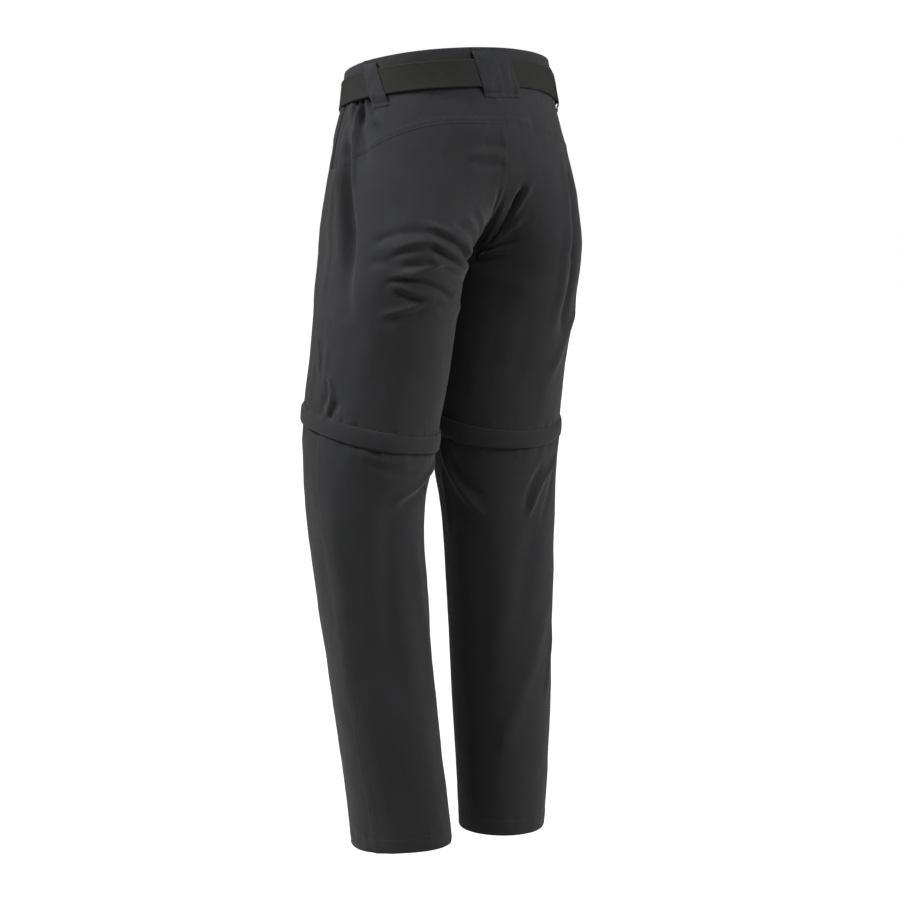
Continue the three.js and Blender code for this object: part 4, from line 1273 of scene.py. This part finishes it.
# Box buckle: a curved sleeve with rounded corners round both layers of the belt
def makeBuckle():
    d = np.linspace(-8, 8, 33)

    # A rounded box round the belt: room above and below it, from lift low to lift high.
    def ring(room, low, high, corner):
        start, stop = beltTop(0) - room, beltTop(0) + belt["height"] + room
        quarter = np.linspace(0, np.pi / 2, 6)
        corners = [(start, low, 1), (start, high, 2), (stop, high, 3), (stop, low, 4)]
        rows = []
        for level, lift, turn in corners:
            inL = corner if level == start else -corner
            inH = corner if lift == low else -corner
            sweepIn = quarter if turn in (2, 4) else quarter[::-1]
            rows.append(np.stack([level + inL * (1 - np.cos(sweepIn)),
                                  lift + inH * (1 - np.sin(sweepIn))], -1))
        return np.concatenate(rows)
    outer, inner = ring(2.6, 1.0, 8.2, 1.4), ring(0.5, 2.1, 7.2, 0.6)
    flare = 0.5 * ease((np.abs(d) - 6.5) / 1.5)

    # The box carried round the waist, swelling by grow towards its ends.
    def at(profile, grow):
        middle = profile.mean(0)
        spread = profile[None] + (profile - middle)[None] / 20 * grow[:, None, None]
        return waistPoint(d[:, None], spread[..., 0], spread[..., 1])
    flow = np.zeros((len(d), len(outer) + 1, 2))
    obj = wall("belt_buckle_frame", bucklePlastic, at(outer, -flare), at(inner, 0 * flare), flow, joined=True)
    place(obj, "belt_buckle", "buckle")


makeBuckle()
print("loops, shield, button and buckle made")


# Stitches: short threads with round ends laid along a line on the cloth
stitch = dict(long=2.2, pitch=4.2, thick=0.72)
# Of each ring of a thread: place along it, size and rise.
threadRings = [(0.1, 0.75, 0.0), (0.5, 1.0, 0.14), (0.9, 0.75, 0.0)]


# One joined mesh: each thread has three rings of four corners and two tips sunk in the cloth.
def stitchMesh(name, lines):
    long, radius = stitch["long"], stitch["thick"] / 2
    starts, ends, ups = [], [], []
    for points, normals in lines:
        step = np.linalg.norm(np.diff(points, axis=0), axis=1)
        length = np.concatenate([[0], np.cumsum(step)])
        first = np.arange(0.8, length[-1] - long, stitch["pitch"])
        picks = ((starts, first, points), (ends, first + long, points), (ups, first + long / 2, normals))
        for rows, where, what in picks:
            rows.append(np.stack([np.interp(where, length, what[:, k]) for k in range(3)], -1))
    start, end, up = (np.concatenate(rows) for rows in (starts, ends, ups))
    onward = unit(end - start)
    up = unit(up - np.sum(up * onward, 1, keepdims=True) * onward)
    aside = np.cross(onward, up)
    rings = []
    for t, size, rise in threadRings:
        centre = start + (end - start) * t + up * (rise - 0.02)
        for a, b in ((1, 0), (0, 1), (-1, 0), (0, -1)):
            rings.append(centre + radius * size * (a * aside * 1.15 + b * up))
    points = np.stack([*rings, start - up * 0.25, end - up * 0.25], 1)
    around = gridQuads(3, 4, joinColumns=True)
    tips = [[12, (j + 1) % 4, j] for j in range(4)] + [[13, 8 + j, 8 + (j + 1) % 4] for j in range(4)]
    faces = np.concatenate([around[:, :3], around[:, [0, 2, 3]], tips])
    a, b, c = (points[0][faces[:, k]] for k in range(3))
    if np.sum(a * np.cross(b, c)) < 0:
        faces = faces[:, ::-1]
    count, corners = points.shape[:2]
    triangles = (faces[None] + corners * np.arange(count)[:, None, None]).reshape(-1, 3)
    place(makeObject(name, points.reshape(-1, 3), triangles, thread, sharp=80), None, "cloth")
    print(name, count, "stitches")


# A row on the cloth: its points, just above the face, and the directions away from the cloth.
def clothLine(side, share, level, extra=0.0):
    share, level = asGrids(share, level)
    return clothPoint(side, share, level, 0.05 + extra, 1.0), outward(side, share, level)


# Levels that rows run between: from under the band, above the knee flap and below it to the hem.
sewnTop, sewnThigh, sewnLower, sewnCrotch = 46, 452, (480, 1026), 236


# Rows beside the yoke seam, the side seam and the inseam, at the pocket mouth, the hem and the flap.
def sewLeg(side, word):
    lines = []
    t = np.linspace(0.03, 0.985, 160)
    seam = yokeSeam(word, t)
    for away in (seams["row"], seams["fell"] - seams["row"]):
        lines.append(clothLine(side, t, seam - away))
    for away in (seams["row"], seams["sideFell"] - seams["row"]):
        for ends in ((sewnTop, sewnThigh), sewnLower):
            level = np.linspace(*ends, 260)
            lines.append(clothLine(side, away / runAt(level), level))
    for ends in ((250, sewnThigh), sewnLower):
        level = np.linspace(*ends, 260)
        lines.append(clothLine(side, 1 - 2.0 / runAt(level), level))
    mouth = np.linspace(sewnTop, trousers["mouthEnd"] - 1, 60)
    for away in mouthRows:
        share = -(mouthShare(mouth) + away / runAt(mouth))
        lines.append(clothLine(side, share, mouth, 0.45 - mouthRoll * math.exp(-(away / 2.2) ** 2)))
    hem = np.linspace(-0.992, 0.992, 260)
    lines.append(clothLine(side, hem, trousers["hemLevel"] - trousers["hemTurn"] + 2, 0.1))
    lines.append(clothLine(side, np.linspace(-0.99, 0.99, 300), trousers["flapTop"] - 1.6))
    return lines


# The centre seam at the back, the fly's curved rows on the left front and the seam below them.
def sewSeat():
    lines = []
    level = np.linspace(sewnTop, sewnCrotch, 120)
    for away in (seams["row"], seams["fell"] - seams["row"]):
        lines.append(clothLine(1, 1 - away / runAt(level), level))
    flyDeep, flyWide = 122, 34
    level = sewnTop + flyDeep * np.linspace(0, 1, 90)
    away = flyWide * np.sqrt(np.maximum(0, 1 - ((level - sewnTop) / flyDeep) ** 5)) + 1.5
    for gap in (0, 6):
        lines.append(clothLine(1, -(1 - (away - gap).clip(1.5) / runAt(level)), level))
    level = np.linspace(172, sewnCrotch, 50)
    lines.append(clothLine(1, -(1 - 1.8 / runAt(level)), level))
    return lines


# A row round the waist: its points and the directions away from the cloth.
def ringLine(d, level, lift):
    points = waistPoint(d, level, lift)
    return points, waistPoint(d, level, lift + 1) - points


# Two rows round the band, two down each loop, and close rows that tack each end of a loop down.
def sewWaist():
    lines = []
    d = np.linspace(1.5, 358, 420)
    for level in bandRows:
        lift = np.minimum(0.6 * bandRipple(roundWaist(d), level) - 0.15, 0.25)
        lines.append(ringLine(d, level, lift + bandSink(d)))
    for loop in loopRows.values():
        wide, end = roundWaist(loop["wide"]), loop["end"]
        for k in (-0.5 + loopRow / wide, 0.5 - loopRow / wide):
            level = np.linspace(1.5, end - 1.5, 70)
            at = loopPlace(loop, level, k)
            lines.append(ringLine(at, level, loopLift(loop, level, at) + loopThick - 0.2))
        for level in (2.6, 3.5, end - 3.5, end - 2.6):
            k = np.linspace(-0.5 + 1.5 / wide, 0.5 - 1.5 / wide, 20)
            at = loopPlace(loop, level, k)
            lines.append(ringLine(at, level, loopLift(loop, level, at) + loopThick - 0.15))
    return lines


# A bar tack: rows of short threads set close together across the end of the pocket mouth.
def barTack(side, level, shareFrom, shareTo, lift):
    share = np.linspace(shareFrom, shareTo, 12)
    return [clothLine(side, share, level + 0.55 * step, lift) for step in range(5)]


for side, word in sides:
    tack = barTack(side, trousers["mouthEnd"] + 1.2, -0.005, -0.112, 0.15)
    tack += barTack(side, trousers["bandBottom"] + 3.5, -0.08, -0.118, 0.5)
    stitchMesh(f"stitching_{word}", sewLeg(side, word) + tack)
stitchMesh("stitching_seat", sewSeat())
stitchMesh("stitching_waist", sewWaist())
print("sewing done")


# Floor, light and camera
stageSet = dict(gap=0.06, size=30.0, lightAim=(0, 0, -0.45))
cameraSet = dict(place=(1.8287, 2.9842, -0.120), aim=(0, 0, -0.479), lens=105.6, shiftX=0.0033)


# A wide sheet below the hems that glows white to the camera and is a plain pale floor to light.
def makeFloor():
    low = cadBox[0][2] - stageSet["gap"]
    half = stageSet["size"] / 2
    corners = [(-half, -half, low), (half, -half, low), (half, half, low), (-half, half, low)]
    mesh = bpy.data.meshes.new("floor")
    mesh.from_pydata(corners, [], [(0, 1, 2, 3)])
    material, tree, shader = newMaterial("paleFloor")
    feed(tree, shader, {"Base Color": (0.5, 0.5, 0.5, 1), "Roughness": 0.9})
    glow = addNode(tree, "ShaderNodeEmission", {"Strength": 1.3})
    path = addNode(tree, "ShaderNodeLightPath")
    seen = mathNode(tree, "MULTIPLY", path.outputs["Is Camera Ray"], 0.9)
    mix = addNode(tree, "ShaderNodeMixShader", {0: seen, 1: shader.outputs[0], 2: glow.outputs[0]})
    feed(tree, tree.nodes["Material Output"], {0: mix.outputs[0]})
    mesh.materials.append(material)
    addObject("floor", mesh)


# White to the camera and a dimmer even light to everything else.
def makeWorld(strength):
    world = bpy.data.worlds.new("studio")
    world.use_nodes = True
    tree = world.node_tree
    tree.nodes.clear()
    seen = addNode(tree, "ShaderNodeBackground", {"Color": (1, 1, 1, 1), "Strength": 1.0})
    light = addNode(tree, "ShaderNodeBackground", {"Color": (0.96, 0.98, 1, 1), "Strength": strength})
    path = addNode(tree, "ShaderNodeLightPath").outputs["Is Camera Ray"]
    mix = addNode(tree, "ShaderNodeMixShader", {0: path, 1: light.outputs[0], 2: seen.outputs[0]})
    addNode(tree, "ShaderNodeOutputWorld", {0: mix.outputs[0]})
    bpy.context.scene.world = world


# Turns an object to look at a point.
def aimAt(obj, point):
    obj.rotation_euler = (point - obj.location).to_track_quat("-Z", "Y").to_euler()


# A soft box at a turn round the object from the camera's side, minus to the left of the camera.
def softBox(name, turn, height, distance, size, power):
    angle = math.atan2(cameraSet["place"][0], cameraSet["place"][1]) - math.radians(turn)
    light = bpy.data.lights.new(name, "AREA")
    light.shape = "RECTANGLE"
    light.size, light.size_y = size
    light.energy = power
    aim = Vector(stageSet["lightAim"])
    obj = addObject(name, light)
    obj.location = aim + Vector((math.sin(angle) * distance, math.cos(angle) * distance, height))
    aimAt(obj, aim)


# The camera stands where the photo's stood. Its sensor is shifted a little sideways.
def makeCamera():
    data = bpy.data.cameras.new("camera")
    data.lens = cameraSet["lens"]
    data.sensor_width = 36
    data.shift_x = cameraSet["shiftX"]
    obj = addObject("camera", data)
    obj.location = cameraSet["place"]
    aimAt(obj, Vector(cameraSet["aim"]))
    bpy.context.scene.camera = obj


makeFloor()
makeWorld(0.003)
softBox("keyLeft", -73, 1.95, 2.35, (0.6, 1.2), 57)
softBox("highRight", 45, 2.1, 2.4, (0.8, 0.8), 19)
softBox("sideRight", 78, 1.1, 2.6, (0.6, 1.4), 20)
softBox("overhead", 10, 2.8, 0.9, (0.8, 0.8), 5)
softBox("behind", 178, 1.2, 2.8, (1.4, 1.4), 11)
makeCamera()
bpy.context.scene.view_settings.view_transform = "Standard"
print("stage ready")
